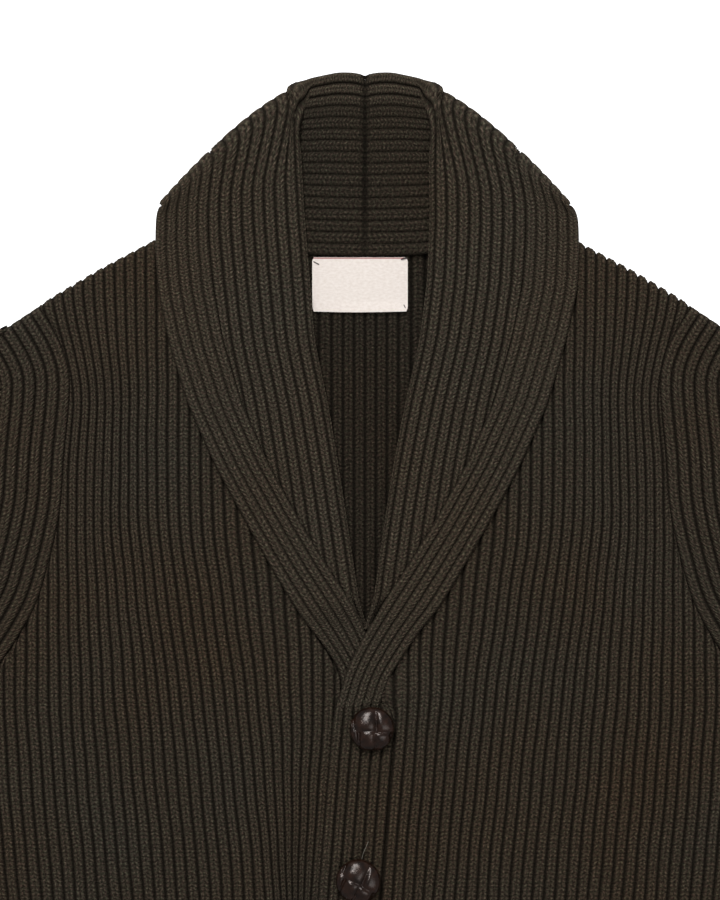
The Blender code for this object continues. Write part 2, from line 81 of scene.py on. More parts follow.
def spot(x, y, z=0.0):
    return np.array((x, y, z), float)


def unit(value):
    length = np.linalg.norm(value, axis=-1, keepdims=True)
    return value / np.maximum(length, 1e-9)


def between(a, b, share):
    return a + (b - a) * share


def line_points(rows, count):
    """Points spread evenly along the line through the rows."""
    rows = np.array(rows, float)
    runs = np.concatenate([[0], np.cumsum(np.linalg.norm(np.diff(rows, axis=0), axis=1))])
    places = np.linspace(0, runs[-1], count)
    return np.stack([np.interp(places, runs, rows[:, axis]) for axis in range(rows.shape[1])], axis=1)


def soften(line, passes):
    """Rounds a line of points, its ends kept."""
    line = line.copy()
    for _ in range(passes):
        line[1:-1] = 0.25 * line[:-2] + 0.5 * line[1:-1] + 0.25 * line[2:]
    return line


def take(values, places):
    """Reads an array at fractional places along its first axis."""
    low = np.clip(np.floor(places).astype(int), 0, len(values) - 2)
    share = (places - low).reshape((-1,) + (1,) * (values.ndim - 1))
    return values[low] * (1 - share) + values[low + 1] * share


# %% [markdown]
# ## The rib
#
# A rib is a round ridge of knit stitches with a narrow furrow of purl stitches beside it. Two columns of
# stitches make the ridge, so it dips a little along its middle. Six lines of points to a rib are enough: they
# crowd at the furrow, where the surface turns, and leave the rest to shading.

# %% Rib columns and their relief
RIB_STEPS = (0.0, 0.12, 0.29, 0.5, 0.71, 0.88)
SPLIT_DEPTH, SPLIT_HALF = 0.15, 0.42


def rib_columns(first, last):
    """Rib numbers of the columns, with a furrow at each whole number."""
    wholes = range(math.floor(first), math.ceil(last) + 1)
    numbers = [whole + step for whole in wholes for step in RIB_STEPS]
    inside = [number for number in numbers if first + 0.04 < number < last - 0.04]
    return np.array([first] + inside + [last])


def ridge(number):
    """About 1 on a rib, a little less along its middle, and 0 in the furrow."""
    across = np.abs(2.0 * (number - np.floor(number)) - 1.0)
    return 1.0 - across ** 3.0 - SPLIT_DEPTH * (1.0 - smooth(across / SPLIT_HALF))


def uneven(x, y):
    """Slow unevenness of hand laid cloth, from about -1 to 1, in waves of 150 to 200 mm."""
    one = np.sin(x * 0.043 + 1.3 * np.sin(y * 0.017))
    other = np.sin(y * 0.031 + 1.1 * np.sin(x * 0.023 + 2.0))
    return (one + other) / 2


# %% [markdown]
# ## From a flat grid to cloth
#
# `create_grid` gives the flat piece, with one square for each step across and along. `solidify` closes it
# into a wall. Then every point knows its column, its row and its side, so it can be sent to its own place.
# The knit's rib and stitch numbers stay on it as a UV map, which the wool pattern follows later.

# %% Laying a flat grid out
THINNEST = 0.15
SHARP_FROM = math.radians(62)


def lay_out(name, upper, lower, ribs, stitches):
    """A closed sheet of cloth: upper and lower hold the place of each column and row on its two faces."""
    columns, rows = upper.shape[:2]
    flat = bmesh.new()
    bmesh.ops.create_grid(flat, x_segments=columns - 1, y_segments=rows - 1, size=0.5)
    bmesh.ops.translate(flat, vec=(0.5, 0.5, 0.0), verts=flat.verts[:])
    bmesh.ops.scale(flat, vec=(columns - 1, rows - 1, 1.0), verts=flat.verts[:])
    bmesh.ops.solidify(flat, geom=flat.faces[:], thickness=1.0)
    mesh = bpy.data.meshes.new(name)
    flat.to_mesh(mesh)
    flat.free()
    count = len(mesh.vertices)
    places = np.empty(count * 3)
    mesh.vertices.foreach_get("co", places)
    places = places.reshape(count, 3)
    column, row = np.rint(places[:, 0]).astype(int), np.rint(places[:, 1]).astype(int)
    under = np.abs(places[:, 2]) > 0.5
    placed = np.where(under[:, None], lower[column, row], upper[column, row]) * MM
    mesh.vertices.foreach_set("co", placed.ravel())
    corners = np.empty(len(mesh.loops), int)
    mesh.loops.foreach_get("vertex_index", corners)
    knit = mesh.uv_layers.new(name="knit")
    numbers = np.stack([ribs[column, row], stitches[column, row]], axis=1)[corners]
    knit.data.foreach_set("uv", numbers.ravel())
    return mesh


def smooth_piece(name, shape, finish):
    """The finished bmesh as a smooth object with its material."""
    mesh = bpy.data.meshes.new(name)
    shape.to_mesh(mesh)
    shape.free()
    mesh.polygons.foreach_set("use_smooth", [True] * len(mesh.polygons))
    mesh.materials.append(finish)
    piece = bpy.data.objects.new(name, mesh)
    bpy.context.scene.collection.objects.link(piece)
    return piece


def sewn(name, parts, turn, finish, node):
    """Joins the laid out parts into one piece that stands for a solid. turn = -1 mirrors it."""
    whole = bmesh.new()
    for part in parts:
        whole.from_mesh(part)
        bpy.data.meshes.remove(part)
    if turn < 0:
        bmesh.ops.scale(whole, vec=(-1.0, 1.0, 1.0), verts=whole.verts[:])
    bmesh.ops.recalc_face_normals(whole, faces=whole.faces[:])
    piece = smooth_piece(name, whole, finish)
    piece.data.set_sharp_from_angle(angle=SHARP_FROM)
    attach(piece, "root")
    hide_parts(node)
    print(name, "has", 2 * len(piece.data.polygons), "triangles")
    return piece


def walls(middle, height, depth=HALF_WALL):
    """The two faces of a cloth about its middle surface."""
    across = np.gradient(middle, axis=0)
    along = np.gradient(middle, axis=1)
    normals = unit(np.cross(across, along))
    return middle + normals * height[..., None], middle - normals * depth


def stitch_count(middle):
    """Stitches counted along each column."""
    steps = np.linalg.norm(np.diff(middle, axis=1), axis=2)
    return np.concatenate([np.zeros((len(middle), 1)), np.cumsum(steps, axis=1)], axis=1) / STITCH


# %% [markdown]
# ## Shader maths as plain sums
#
# A shader is easier to read as a formula than as a web of nodes. The small class below wraps one socket, so
# that adding or multiplying two of them adds the Math node that does it. All other nodes come from one
# method.

# %% A wrapper for sockets


class Signal:
    def __init__(self, tree, socket):
        self.tree, self.socket = tree, socket

    def maths(self, operation, *others):
        made = self.tree.nodes.new("ShaderNodeMath")
        made.operation = operation
        for place, value in zip(made.inputs, (self, *others)):
            if isinstance(value, Signal):
                self.tree.links.new(value.socket, place)
            else:
                place.default_value = value
        return Signal(self.tree, made.outputs[0])

    def __add__(self, other):
        return self.maths("ADD", other)

    def __sub__(self, other):
        return self.maths("SUBTRACT", other)

    def __mul__(self, other):
        return self.maths("MULTIPLY", other)

    def __rsub__(self, other):
        return (self * -1.0) + other

    def __pow__(self, other):
        return self.maths("POWER", other)

    def __abs__(self):
        return self.maths("ABSOLUTE")

    __radd__ = __add__
    __rmul__ = __mul__

    def fract(self):
        return self.maths("FRACT")

    def cosine(self):
        return self.maths("COSINE")

    def held(self, low=0.0, high=1.0):
        return self.maths("MAXIMUM", low).maths("MINIMUM", high)


class Finish:
    """A material and the one method that adds any node to it."""

    def __init__(self, name, roughness, **fixed):
        self.material = bpy.data.materials.new(name)
        self.material.use_nodes = True
        self.tree = self.material.node_tree
        self.surface = self.tree.nodes["Principled BSDF"]
        self.surface.inputs["Roughness"].default_value = roughness
        for socket, value in fixed.items():
            self.surface.inputs[socket.replace("_", " ")].default_value = value

    def node(self, kind, settings=None, values=None, output=0):
        made = self.tree.nodes.new(kind)
        for key, value in (settings or {}).items():
            if key == "stops":
                for at, (place, colour) in enumerate(value):
                    stop = made.color_ramp.elements[at] if at < 2 else made.color_ramp.elements.new(place)
                    stop.position, stop.color = place, (*colour, 1.0)
            else:
                setattr(made, key, value)
        for socket, value in (values or {}).items():
            if isinstance(value, Signal):
                self.tree.links.new(value.socket, made.inputs[socket])
            else:
                made.inputs[socket].default_value = value
        return Signal(self.tree, made.outputs[output])

    def noise(self, vector, scale, detail, **more):
        values = {"Vector": vector, "Scale": scale, "Detail": detail, **more}
        return self.node("ShaderNodeTexNoise", None, values)

    def ramp(self, value, *stops):
        return self.node("ShaderNodeValToRGB", {"stops": stops}, {"Fac": value})

    def part(self, vector, axis):
        """One coordinate of a vector: 0 is x and 1 is y."""
        return self.node("ShaderNodeSeparateXYZ", None, {0: vector}, output=axis)

    def mix(self, blend, factor, one, other):
        """Two colours mixed. 6 and 7 are the Mix node's colour inputs and 2 is its colour output."""
        settings = {"data_type": "RGBA", "blend_type": blend}
        return self.node("ShaderNodeMix", settings, {"Factor": factor, 6: one, 7: other}, output=2)

    def own_place(self):
        """The place of a point on the piece itself."""
        return self.node("ShaderNodeTexCoord", None, None, output=3)

    def knit_map(self):
        return self.node("ShaderNodeUVMap", {"uv_map": "knit"})

    def feed(self, socket, value):
        self.tree.links.new(value.socket, self.surface.inputs[socket])

    def bump(self, height, strength, distance):
        values = {"Height": height, "Strength": strength, "Distance": distance}
        self.feed("Normal", self.node("ShaderNodeBump", None, values))


# %% [markdown]
# ## Wool
#
# The yarn is a marl: dark olive and brown fibres spun together, so its colour changes from stitch to stitch.
# The pattern counts in ribs and stitches. Two legs of each stitch lean towards the middle of the rib, where
# two columns of stitches meet in a fine split. The split, the furrows and the gaps between stitches are
# painted darker in the colour, as painted shade of the ribs' relief, and a fine noise gives the hairy surface.
#
# Wool hardly shines: it has almost no mirror reflection, a rough surface and a trace of sheen.

# %% Painted shade that only the collar has
STAND_ENDS, STRIP_STARTS = 13.0, 22.5


def collar_painted_shades(made, rib, furrow):
    """Lighter painted furrow shade, and painted shade on the stand and on the seam behind the neck."""
    place = made.own_place()
    on_fall = (rib - STAND_ENDS).held()
    furrow = furrow * (on_fall * 0.45 + 0.45) * (1.0 - (rib - STRIP_STARTS).held() * 0.45)
    # Painted shade along the seam behind the neck, within about 3 mm of it.
    at_seam = 1.0 - (abs(made.part(place, 0)) * 340.0).held()
    behind_neck = ((made.part(place, 1) - 0.27) * 25.0).held()
    return furrow, (on_fall * 0.4 + 0.6) * (1.0 - at_seam * behind_neck * 0.7)


# %% [markdown]
# The colour is built up in steps: a ramp from dark to light yarn along the marl, a warmer drift a hand's width
# long, small brown and green flecks, and at last a value that holds the hairy noise and all the painted shade.
# A ramp starts with two stops, so its first and last are given first and the middle one is added.

# %% The wool finish
YARN_DARK, YARN_MIDDLE, YARN_LIGHT = (0.0157, 0.0125, 0.0096), (0.0394, 0.0338, 0.0258), (0.093, 0.083, 0.061)
BROWNER, GREENER = (1.09, 0.94, 0.97), (0.92, 1.02, 0.93)


def wool(name, brightness, warmth, on_collar=False):
    made = Finish(name, 0.95, Sheen_Weight=0.03, Sheen_Roughness=0.6, Sheen_Tint=(0.70, 0.55, 0.40, 1.0),
                  Specular_IOR_Level=0.05)
    knit, place = made.knit_map(), made.own_place()
    rib, stitch = made.part(knit, 0), made.part(knit, 1)
    across = abs(rib.fract() * 2.0 - 1.0)
    leg = (stitch + across * 0.7 + made.noise(knit, 0.9, 2.0) * 0.8).fract()
    loop = ((leg * (2.0 * math.pi)).cosine() * -0.5 + 0.5) * (1.0 - across ** 3.0)
    split = ((across * 2.6).held() * math.pi).cosine() * 0.5 + 0.5
    furrow = (((across - 0.42) * 1.8).held() * math.pi).cosine() * -0.5 + 0.5
    hair = made.noise(place, 1500.0, 3.0, Roughness=0.7)

    tufts = made.node("ShaderNodeMapping", None, {"Vector": knit, "Scale": (5.2, 2.0, 1.0)})
    marl = made.noise(tufts, 1.0, 3.0, Roughness=0.75)
    dark, middle, light = (tuple(brightness * part for part in tone)
                           for tone in (YARN_DARK, YARN_MIDDLE, YARN_LIGHT))
    yarn = made.ramp(marl, (0.34, dark), (0.67, light), (0.49, middle))
    drift = made.noise(place, 9.0, 2.0)
    yarn = made.mix("MULTIPLY", (drift * 2.4 - 0.75).held(), yarn, (*warmth, 1.0))
    flecks = made.node("ShaderNodeMapping", None,
                       {"Vector": knit, "Location": (3.7, 9.1, 0.0), "Scale": (6.0, 1.4, 1.0)})
    hue = made.noise(flecks, 1.0, 2.0, Roughness=0.6)
    yarn = made.mix("MULTIPLY", 1.0, yarn, made.ramp(hue, (0.40, BROWNER), (0.60, GREENER)))

    # On the collar, stand holds the painted shade of the stand and of the seam behind the neck.
    stand = 1.0
    if on_collar:
        furrow, stand = collar_painted_shades(made, rib, furrow)
    # Painted shade: the split, the furrows and the gaps between stitches are darkened in the colour.
    shade = (1.0 - split * 0.48) * (1.0 - furrow * 0.74) * (0.66 + loop * 0.55)
    shade = shade * (hair * 2.9 - 0.4).held(0.2, 2.0) * stand
    painted_shade_grey = made.node("ShaderNodeCombineColor", None, {0: shade, 1: shade, 2: shade})
    made.feed("Base Color", made.mix("MULTIPLY", 1.0, yarn, painted_shade_grey))
    made.bump(loop * (1.0 - split * 0.5) - split * 0.4 + hair * 0.9 + marl * 0.4, 0.8, 0.0008)
    return made.material


body_wool = wool("body wool", 1.0, (1.12, 0.93, 0.80))
collar_wool = wool("collar wool", 1.14, (1.08, 0.95, 0.86), on_collar=True)
# This finish for the back's inside is the same yarn at 0.6 brightness: painted shade.
inside_wool_painted_shade = wool("inside wool painted shade", 0.60, (1.10, 0.94, 0.84))
sleeve_wool = wool("sleeve wool", 1.0, (1.10, 0.94, 0.82))

# %% [markdown]
# ## Body outlines
#
# The front and the back are straight pieces from hem to underarm. The laid garment isn't quite straight:
# its ribs lean towards the buttons below the V and a little outwards above it, and that lean is what the lean
# tables hold, as the shift in x at each height. The other tables are outlines, as places in x and y.

# %% Tables of the body
HEM_Y = -382.0
SIDE_X = 263.0
SHOULDER = [(96, 301.5), (124, 285), (154, 269), (183, 252), (207, 235.5)]
ARMHOLE_TOP = [(134, 0.0), (207, -6.0), (222, 1.0), (235.5, 10.0)]
ARMHOLE_SEAM = [(206.6, 235.6), (197.6, 222), (190.9, 207), (192.6, 185), (195.4, 160), (196.5, 134),
                (201, 112), (209, 82), (221, 61), (238, 38), (251, 27), (262.5, 20.5)]
BACK_ARMHOLE = [(197, 134), (209, 82), (238, 38), (263, 20.0)]
BACK_NECK = [(0, 281), (40, 282.5), (70, 288), (90, 298), (96, 301.5)]
NECK_OVER = [(13.8, 30), (15, 60), (17, 76), (28, 97), (39, 118), (51, 145), (65, 178), (76, 208),
             (83, 235), (86, 262), (89, 284), (96, 301.5)]
NECK_UNDER = [(14.4, 30), (22, 45), (29, 55), (30, 62), (31, 76), (36, 97), (42, 118), (52, 145),
              (66, 178), (76, 208), (83, 235), (86, 262), (89, 284), (96, 301.5)]
LAST_WHOLE_RIB, SHOULDER_ENDS = 197.0, 182.0
RIB_LEAN = [(HEM_Y, 12.0), (-98, 12.0), (20, 0.0), (122, -14.0), (400, -14.0)]
BAND_LEAN = [(HEM_Y, -13.3), (-150, -13.3), (-98, -9.0), (-11, -2.0), (2, 0.0), (400, 0.0)]
BACK_TOP, FRONT_BASE, FRONT_TOP = 3.8, 4.3, 8.1
STRIP_WIDTH = 20.5
PLACKET = 14


def soft_read(table, at):
    """Reads a table with its corners rounded over a hand's width."""
    return sum(read(table, at + step) for step in (-18.0, -9.0, 0.0, 9.0, 18.0)) / 5


def body_x(u, y, band_weight):
    """Where the rib that lies at u beside the V has moved to at height y."""
    lean = soft_read(RIB_LEAN, y)
    above = lean * (1.0 - smooth((u - 100) / 95))
    below = lean + (23.0 * smooth((22 - y) / 300) - lean) * smooth((u - 75) / 188)
    lean = between(below, above, smooth((y + 5) / 50))
    free = smooth((u - PLACKET) / 60)
    shift = -lean * free + band_weight * soft_read(BAND_LEAN, y) * (1.0 - free)
    shift = shift + soft_read(ARMHOLE_TOP, y) * smooth((u - 100) / (LAST_WHOLE_RIB - 100))
    return u + shift


# %% [markdown]
# ## The armhole strip
#
# A good hand-framed cardigan is fashioned: three ribs run beside the armhole seam all the way from shoulder
# to underarm, and the other ribs of the body end against them in small V shapes. The strip is its own
# flat piece here, and the body's columns stop at its inner edge. The sleeve has the same strip on its side.
#
# A cut edge of thick knit is round. `edge_roll` gives the quarter circle by which it turns down.

# %% The seam and the lines beside it
STRIP_RIBS = 3.0
SHOULDER_REACH, SHOULDER_FALL = 6.0, 3.6
SEAM_PINCH = 0.9
seam = soften(line_points(ARMHOLE_SEAM, 90), 12)
seam_way = unit(np.gradient(seam, axis=0))
seam_out = np.stack([-seam_way[:, 1], seam_way[:, 0]], axis=1)
fashion_line = seam - seam_out * STRIP_WIDTH
print("seam length", round(float(np.linalg.norm(np.diff(seam, axis=0), axis=1).sum())), "mm")


def edge_roll(distance, reach, fall):
    """How far a cut edge rolls down, a distance inside it."""
    inside = np.clip(distance / reach, 0.0, 1.0)
    return fall * (1.0 - np.sqrt(1.0 - (1.0 - inside) ** 2))


def armhole_strip(sign):
    """Three ribs beside the seam: sign -1 is the body's side and +1 the sleeve's."""
    ribs = rib_columns(0.0, STRIP_RIBS)
    middle = np.zeros((len(ribs), len(seam), 3))
    for column, number in enumerate(ribs):
        offset = (number / STRIP_RIBS * STRIP_WIDTH - 0.15) * sign
        middle[column, :, :2] = seam + seam_out * offset
    number = ribs[:, None] + np.zeros(len(seam))
    from_shoulder = np.linalg.norm(seam - seam[0], axis=1)[None, :]
    drop = edge_roll(from_shoulder, SHOULDER_REACH, SHOULDER_FALL)
    pinch = SEAM_PINCH * (1.0 - smooth(number / 0.3))
    upper = middle.copy()
    upper[..., 2] = FRONT_TOP - GROOVE * (1.0 - ridge(number)) - drop - pinch
    lower = middle.copy()
    lower[..., 2] = FRONT_TOP - 2 * HALF_WALL
    lower = np.minimum(lower, upper - [0, 0, THINNEST])
    return lay_out("strip", upper, lower, number, stitch_count(middle))


# %% [markdown]
# ## The two fronts
#
# Each front's columns are its ribs. They start at the band, where they are as high as the band that lies on
# them, and end at the neck, the shoulder or under the armhole strip. The shoulder edge rolls down to the
# back, and each rib ends there in a small scallop.
#
# A panel is a table of heights too: its top is lowered by the furrows and the rolled edges, and lifted by
# the band under it and by the slow puff of thick cloth that was laid by hand.

# %% Where each column ends
EDGE_STEPS = np.array([0.0, 0.7, 1.6, 3.0, 5.0, 8.0])
SCALLOP = 2.8
UNDER_STRIP_FROM, UNDER_STRIP_TO = (181.0, 248.0), (SIDE_X, 1.0)


def column_tops(u, neck, band_weight, armhole):
    """Height at which each column ends. Without an armhole they run on under its strip."""
    tops = read(neck + SHOULDER[1:], u)
    for _ in range(16):
        tops = 0.5 * (tops + read(neck + SHOULDER[1:], body_x(u, tops, band_weight)))
    if armhole is None:
        under_strip = read([UNDER_STRIP_FROM, UNDER_STRIP_TO], u)
        return np.where(u > UNDER_STRIP_FROM[0], under_strip, tops)
    for at in np.nonzero(u > LAST_WHOLE_RIB)[0]:
        reach = body_x(u[at], armhole[:, 1], band_weight)
        inside = np.nonzero((armhole[:, 0] > reach) & (armhole[:, 1] < 190))[0]
        tops[at] = armhole[inside[0], 1] if len(inside) else armhole[-1, 1]
    return tops


def column_heights(tops, rows):
    """Rows of each column, crowded at its top, where the edge rolls, and even from there to the hem."""
    shares = np.linspace(0, 1, rows - len(EDGE_STEPS) + 1)[1:]
    edge = tops[:, None] - EDGE_STEPS
    return np.concatenate([edge, between(edge[:, -1:], HEM_Y, shares)], axis=1)


# %% Making a front
BAND_LIFT, BAND_LIFT_REACH, PUFF = 3.7, 46, 1.4
BAND_HEAD_Y = 13


def front(name, node, neck, first_u, phase_u, band_weight, turn, rows=86):
    """A front from its first column, first_u, with a furrow at phase_u. turn = -1 mirrors it."""
    ribs = rib_columns((first_u - phase_u) / RIB, (SIDE_X - phase_u) / RIB)
    u = phase_u + ribs * RIB
    tops = column_tops(u, neck, band_weight, None)
    y = column_heights(tops, rows)
    u = u[:, None]
    number = ribs[:, None] + np.zeros(rows)
    high = ridge(number)
    x = body_x(u, y, band_weight)
    x = x + 0.35 * uneven(x * 3, y * 4) * smooth((u - phase_u - 1) / 14)
    beside = np.interp(-y, -fashion_line[:, 1], fashion_line[:, 0]) + 0.3
    held = (x > beside) & (y > fashion_line[-1, 1])
    x = np.where(held, beside, x)
    if band_weight > 0:
        x = x - 4.0 * smooth((y - 10) / 6) * (1 - smooth((u - NECK_OVER[0][0]) / 9))
    to_top, to_hem = tops[:, None] - y, y - HEM_Y
    on_shoulder = smooth((x - 90) / 8) * (u < SHOULDER_ENDS)
    drop = edge_roll(to_top, SHOULDER_REACH, SHOULDER_FALL) * on_shoulder
    drop = drop + edge_roll(to_top, 4.0, 1.6) * (1 - on_shoulder) + edge_roll(to_hem, 3.0, 1.5)
    drop = drop + edge_roll(SIDE_X + 0.5 - u, 4.0, 1.8)
    y = y - on_shoulder * SCALLOP * (1 - high) * smooth((EDGE_STEPS[-1] - to_top) / EDGE_STEPS[-1])
    lift = np.zeros_like(x)
    if band_weight > 0:
        lift = BAND_LIFT * (1 - smooth((u - phase_u - 2) / BAND_LIFT_REACH)) * smooth((38 - y) / 14)
        lift = lift * ((u >= phase_u) | (y > BAND_HEAD_Y))
    puff = PUFF * smooth((uneven(x * 1.6 + 40 * turn, y) - 0.1) / 0.9) * smooth((x - 70) / 50)
    puff = puff * smooth((to_top - 20) / 60) * (u < SIDE_X - 2)
    under_band = (u < phase_u) & (y < BAND_HEAD_Y)
    top_z = FRONT_TOP + lift + puff - drop - np.where(under_band, 0.3, GROOVE * (1.0 - high))
    top_z = np.where(held, np.minimum(top_z, FRONT_TOP - GROOVE + 0.4), top_z)
    base_z = np.minimum(FRONT_BASE + lift + puff * 0.6, top_z - 2 * THINNEST)
    upper, lower = np.stack([x, y, top_z], axis=2), np.stack([x, y, base_z], axis=2)
    panel = lay_out("panel", upper, lower, number, (y - HEM_Y) / STITCH)
    return sewn(name, [panel, armhole_strip(-1.0)], turn, body_wool, node)


front_over = front("knit_front_left", "front_left", NECK_OVER, 13.8, 18.6, 1.0, 1.0)
front_under = front("knit_front_right", "front_right", NECK_UNDER, 14.4, 17.6, -1.0, -1.0)

# %% [markdown]
# ## The back
#
# Only a wedge of the back's inside shows, below the label. Its outside lies on the table, so its ribs there
# are all cut to one plane and the piece rests flat.

# %% Making the back
FINE_RIBS, SHOWN_HALF = 9, 60
INNER_GROOVE, OUTER_GROOVE = GROOVE * 0.62, 0.9


def column_spread():
    """Fine columns where the neck shows them, four to a rib elsewhere."""
    fine = rib_columns(0.0, FINE_RIBS) * RIB
    steps = [RIB * (whole + step) for whole in range(FINE_RIBS, 42) for step in (0.15, 0.5, 0.85, 1.0)]
    return np.concatenate([fine, [u for u in steps if u < SIDE_X - 1], [SIDE_X]])


def back_piece(rows=64):
    half = column_spread()
    u = np.concatenate([-half[:0:-1], half])
    tops = column_tops(np.abs(u), BACK_NECK, 0.0, line_points(BACK_ARMHOLE, 80))
    y = column_heights(tops, rows)
    x = np.sign(u)[:, None] * body_x(np.abs(u)[:, None], y, 0.0)
    number = (u / RIB)[:, None] + np.zeros(rows)
    high = ridge(number)
    to_top = tops[:, None] - y
    on_shoulder = smooth((np.abs(x) - 90) / 8)
    y = y - on_shoulder * SCALLOP * (1 - high) * smooth((EDGE_STEPS[-1] - to_top) / EDGE_STEPS[-1])
    dip = INNER_GROOVE * (1 - high) * (np.abs(x) < SHOWN_HALF)
    upper = np.stack([x, y, BACK_TOP - dip], axis=2)
    lower = np.stack([x, y, OUTER_GROOVE * (1 - high) + edge_roll(to_top, 5.0, 1.5)], axis=2)
    panel = lay_out("back", upper, lower, number, (y - HEM_Y) / STITCH)
    # The inside of the back takes the darker copy of the wool: painted shade.
    return sewn("knit_back", [panel], 1.0, inside_wool_painted_shade, "back")


back = back_piece()

# %% [markdown]
# ## The sleeves
#
# A sleeve is one flat piece folded round the arm's outer line, with its ribs parallel to that fold. Towards
# the cuff the piece narrows, so ribs run out one by one into the seam under the arm.
#
# Each column is a line from shoulder to cuff, at its own distance in from the fold. The lines are grown
# back past the armhole, and each column then starts where its line leaves the seam. On top the first few
# centimetres lie low, under the sleeve's own strip, so no gap can open beside it.

# %% Lines and columns of a sleeve
SLEEVE_OUTER = [(207.4, 236.2), (300, 178), (390, 118), (436, 78), (466, 14), (530, -142), (583, -276)]
SLEEVE_INNER = [(269.4, 20.0), (288, -12), (318, -60), (352, -112), (384, -162), (436, -240), (487, -316)]
FOLD, FOLD_STEPS = 2.15, 8
UNDER_Z, FOLD_Z, OVER_Z = 1.9, 4.05, 6.2
SLEEVE_RIBS = 35
GROWN_BACK, UNDERARM_WAY = 34, np.array((-0.66, 0.75)) * 2.0


def sleeve_lines(count):
    """The outer and the inner line of the arm, grown back past the armhole."""
    outer = soften(line_points(SLEEVE_OUTER, count), 60)
    inner = soften(line_points(SLEEVE_INNER, count), 30)
    back = np.arange(GROWN_BACK, 0, -1)[:, None]
    back_outer = outer[0] - (outer[1] - outer[0]) * back
    back_inner = inner[0] + UNDERARM_WAY * back
    return np.concatenate([back_outer, outer]), np.concatenate([back_inner, inner])


def sleeve_columns():
    """(rib, mm in from the fold, height, bulge) from the seam underneath, round the fold, to the seam."""
    columns = [(-rib, (rib - 0.5) * RIB, UNDER_Z, 0.0) for rib in range(SLEEVE_RIBS, 0, -1)]
    for step in range(1, FOLD_STEPS):
        turn = math.pi * step / FOLD_STEPS
        columns.append((step / FOLD_STEPS - 0.5, 0.0, FOLD_Z - FOLD * math.cos(turn), -FOLD * math.sin(turn)))
    columns += [(rib, (rib - 0.5) * RIB, OVER_Z, 0.0) for rib in rib_columns(0.5, SLEEVE_RIBS + 0.2)]
    return np.array(columns)


# %% Making a sleeve
END_SINK, STRIP_SINK, SLEEVE_PUFF = 1.1, 3.1, 0.8
TOP_STARTS_PAST, FAR_PAST = 3.0, 99.0


def past_seam(path):
    """How far each point of a path lies on the sleeve's side of the armhole seam."""
    nearest = np.linalg.norm(path[:, None, :] - seam[None, :, :], axis=2).argmin(axis=1)
    beyond = np.einsum("ij,ij->i", path - seam[nearest], seam_out[nearest])
    beyond[nearest == len(seam) - 1] = FAR_PAST
    return beyond


def sleeve(name, node, turn, rows=84):
    """Each column runs from the armhole to the last place where the narrowing piece still has room for it."""
    outer, inner = sleeve_lines(200)
    way, span = unit(inner - outer), np.linalg.norm(inner - outer, axis=1)
    table = sleeve_columns()
    middle = np.zeros((len(table), rows, 3))
    fade, covered = np.zeros((len(table), rows)), np.zeros((len(table), rows))
    for column, (_, inset, height, bulge) in enumerate(table):
        path = outer + way * (FOLD + HALF_WALL + inset + bulge)
        last = np.nonzero(inset < span - 2 * (FOLD + HALF_WALL) + 4.0)[0][-1]
        beyond = past_seam(path)
        behind = np.nonzero(beyond[:last] < (TOP_STARTS_PAST if height > 4.0 else 0.0))[0]
        first = min(behind[-1] + 1 if len(behind) else 0, last - 1)
        places = first + (last - first) * np.linspace(0, 1, rows) ** 1.15
        middle[column, :, :2] = take(path, places)
        middle[column, :, 2] = height
        fade[column] = smooth((last - places) * 3.0 / 4.0 + 0.3)
        covered[column] = smooth((STRIP_WIDTH + 0.6 - take(beyond, places)) / 4.0)
    number = table[:, 0][:, None] + np.zeros(rows)
    above = (table[:, 0] > 0.5)[:, None]
    relief = (GROOVE * (1 - ridge(number)) + END_SINK * (1 - fade) + STRIP_SINK * covered) * above
    waves = uneven(middle[..., 0] * 1.5, middle[..., 1] * 1.5)
    middle[..., 2] += SLEEVE_PUFF * smooth((waves - 0.1) / 0.9) * above
    upper, lower = walls(middle, np.maximum(HALF_WALL - relief, -1.2))
    upper[..., 2], lower[..., 2] = np.maximum(upper[..., 2], 0.0), np.maximum(lower[..., 2], 0.0)
    arm = lay_out("arm", upper, lower, number, stitch_count(middle))
    return sewn(name, [arm, armhole_strip(1.0)], turn, sleeve_wool, node)


sleeve_over = sleeve("knit_sleeve_left", "sleeve_left", 1.0)
sleeve_under = sleeve("knit_sleeve_right", "sleeve_right", -1.0)

# %% [markdown]
# ## The shawl collar
#
# The collar is knitted in two halves that meet at the back of the neck. Its ribs run round the neck: they
# rise as the stand, fold over, and come down as the lapel. Each half is given as rows across the collar,
# from the middle of the back round the side and down the lapel. Twenty-eight ribs are counted from the neck
# seam. The last five stay beside the outer edge all the way, while the others end one by one against them
# as the lapel narrows, which is the long mitre seen on the lapel.
#
# A row of the lapel is a line of the table below: where the collar rolls over, where its outer edge lies
# and where it joins the neck, each as y and as x on the left and on the right half, as seen from above. The
# left half as seen is the wearer's right. Its lapel lies under the other one, and its strip goes on as the
# under band. k counts ribs.

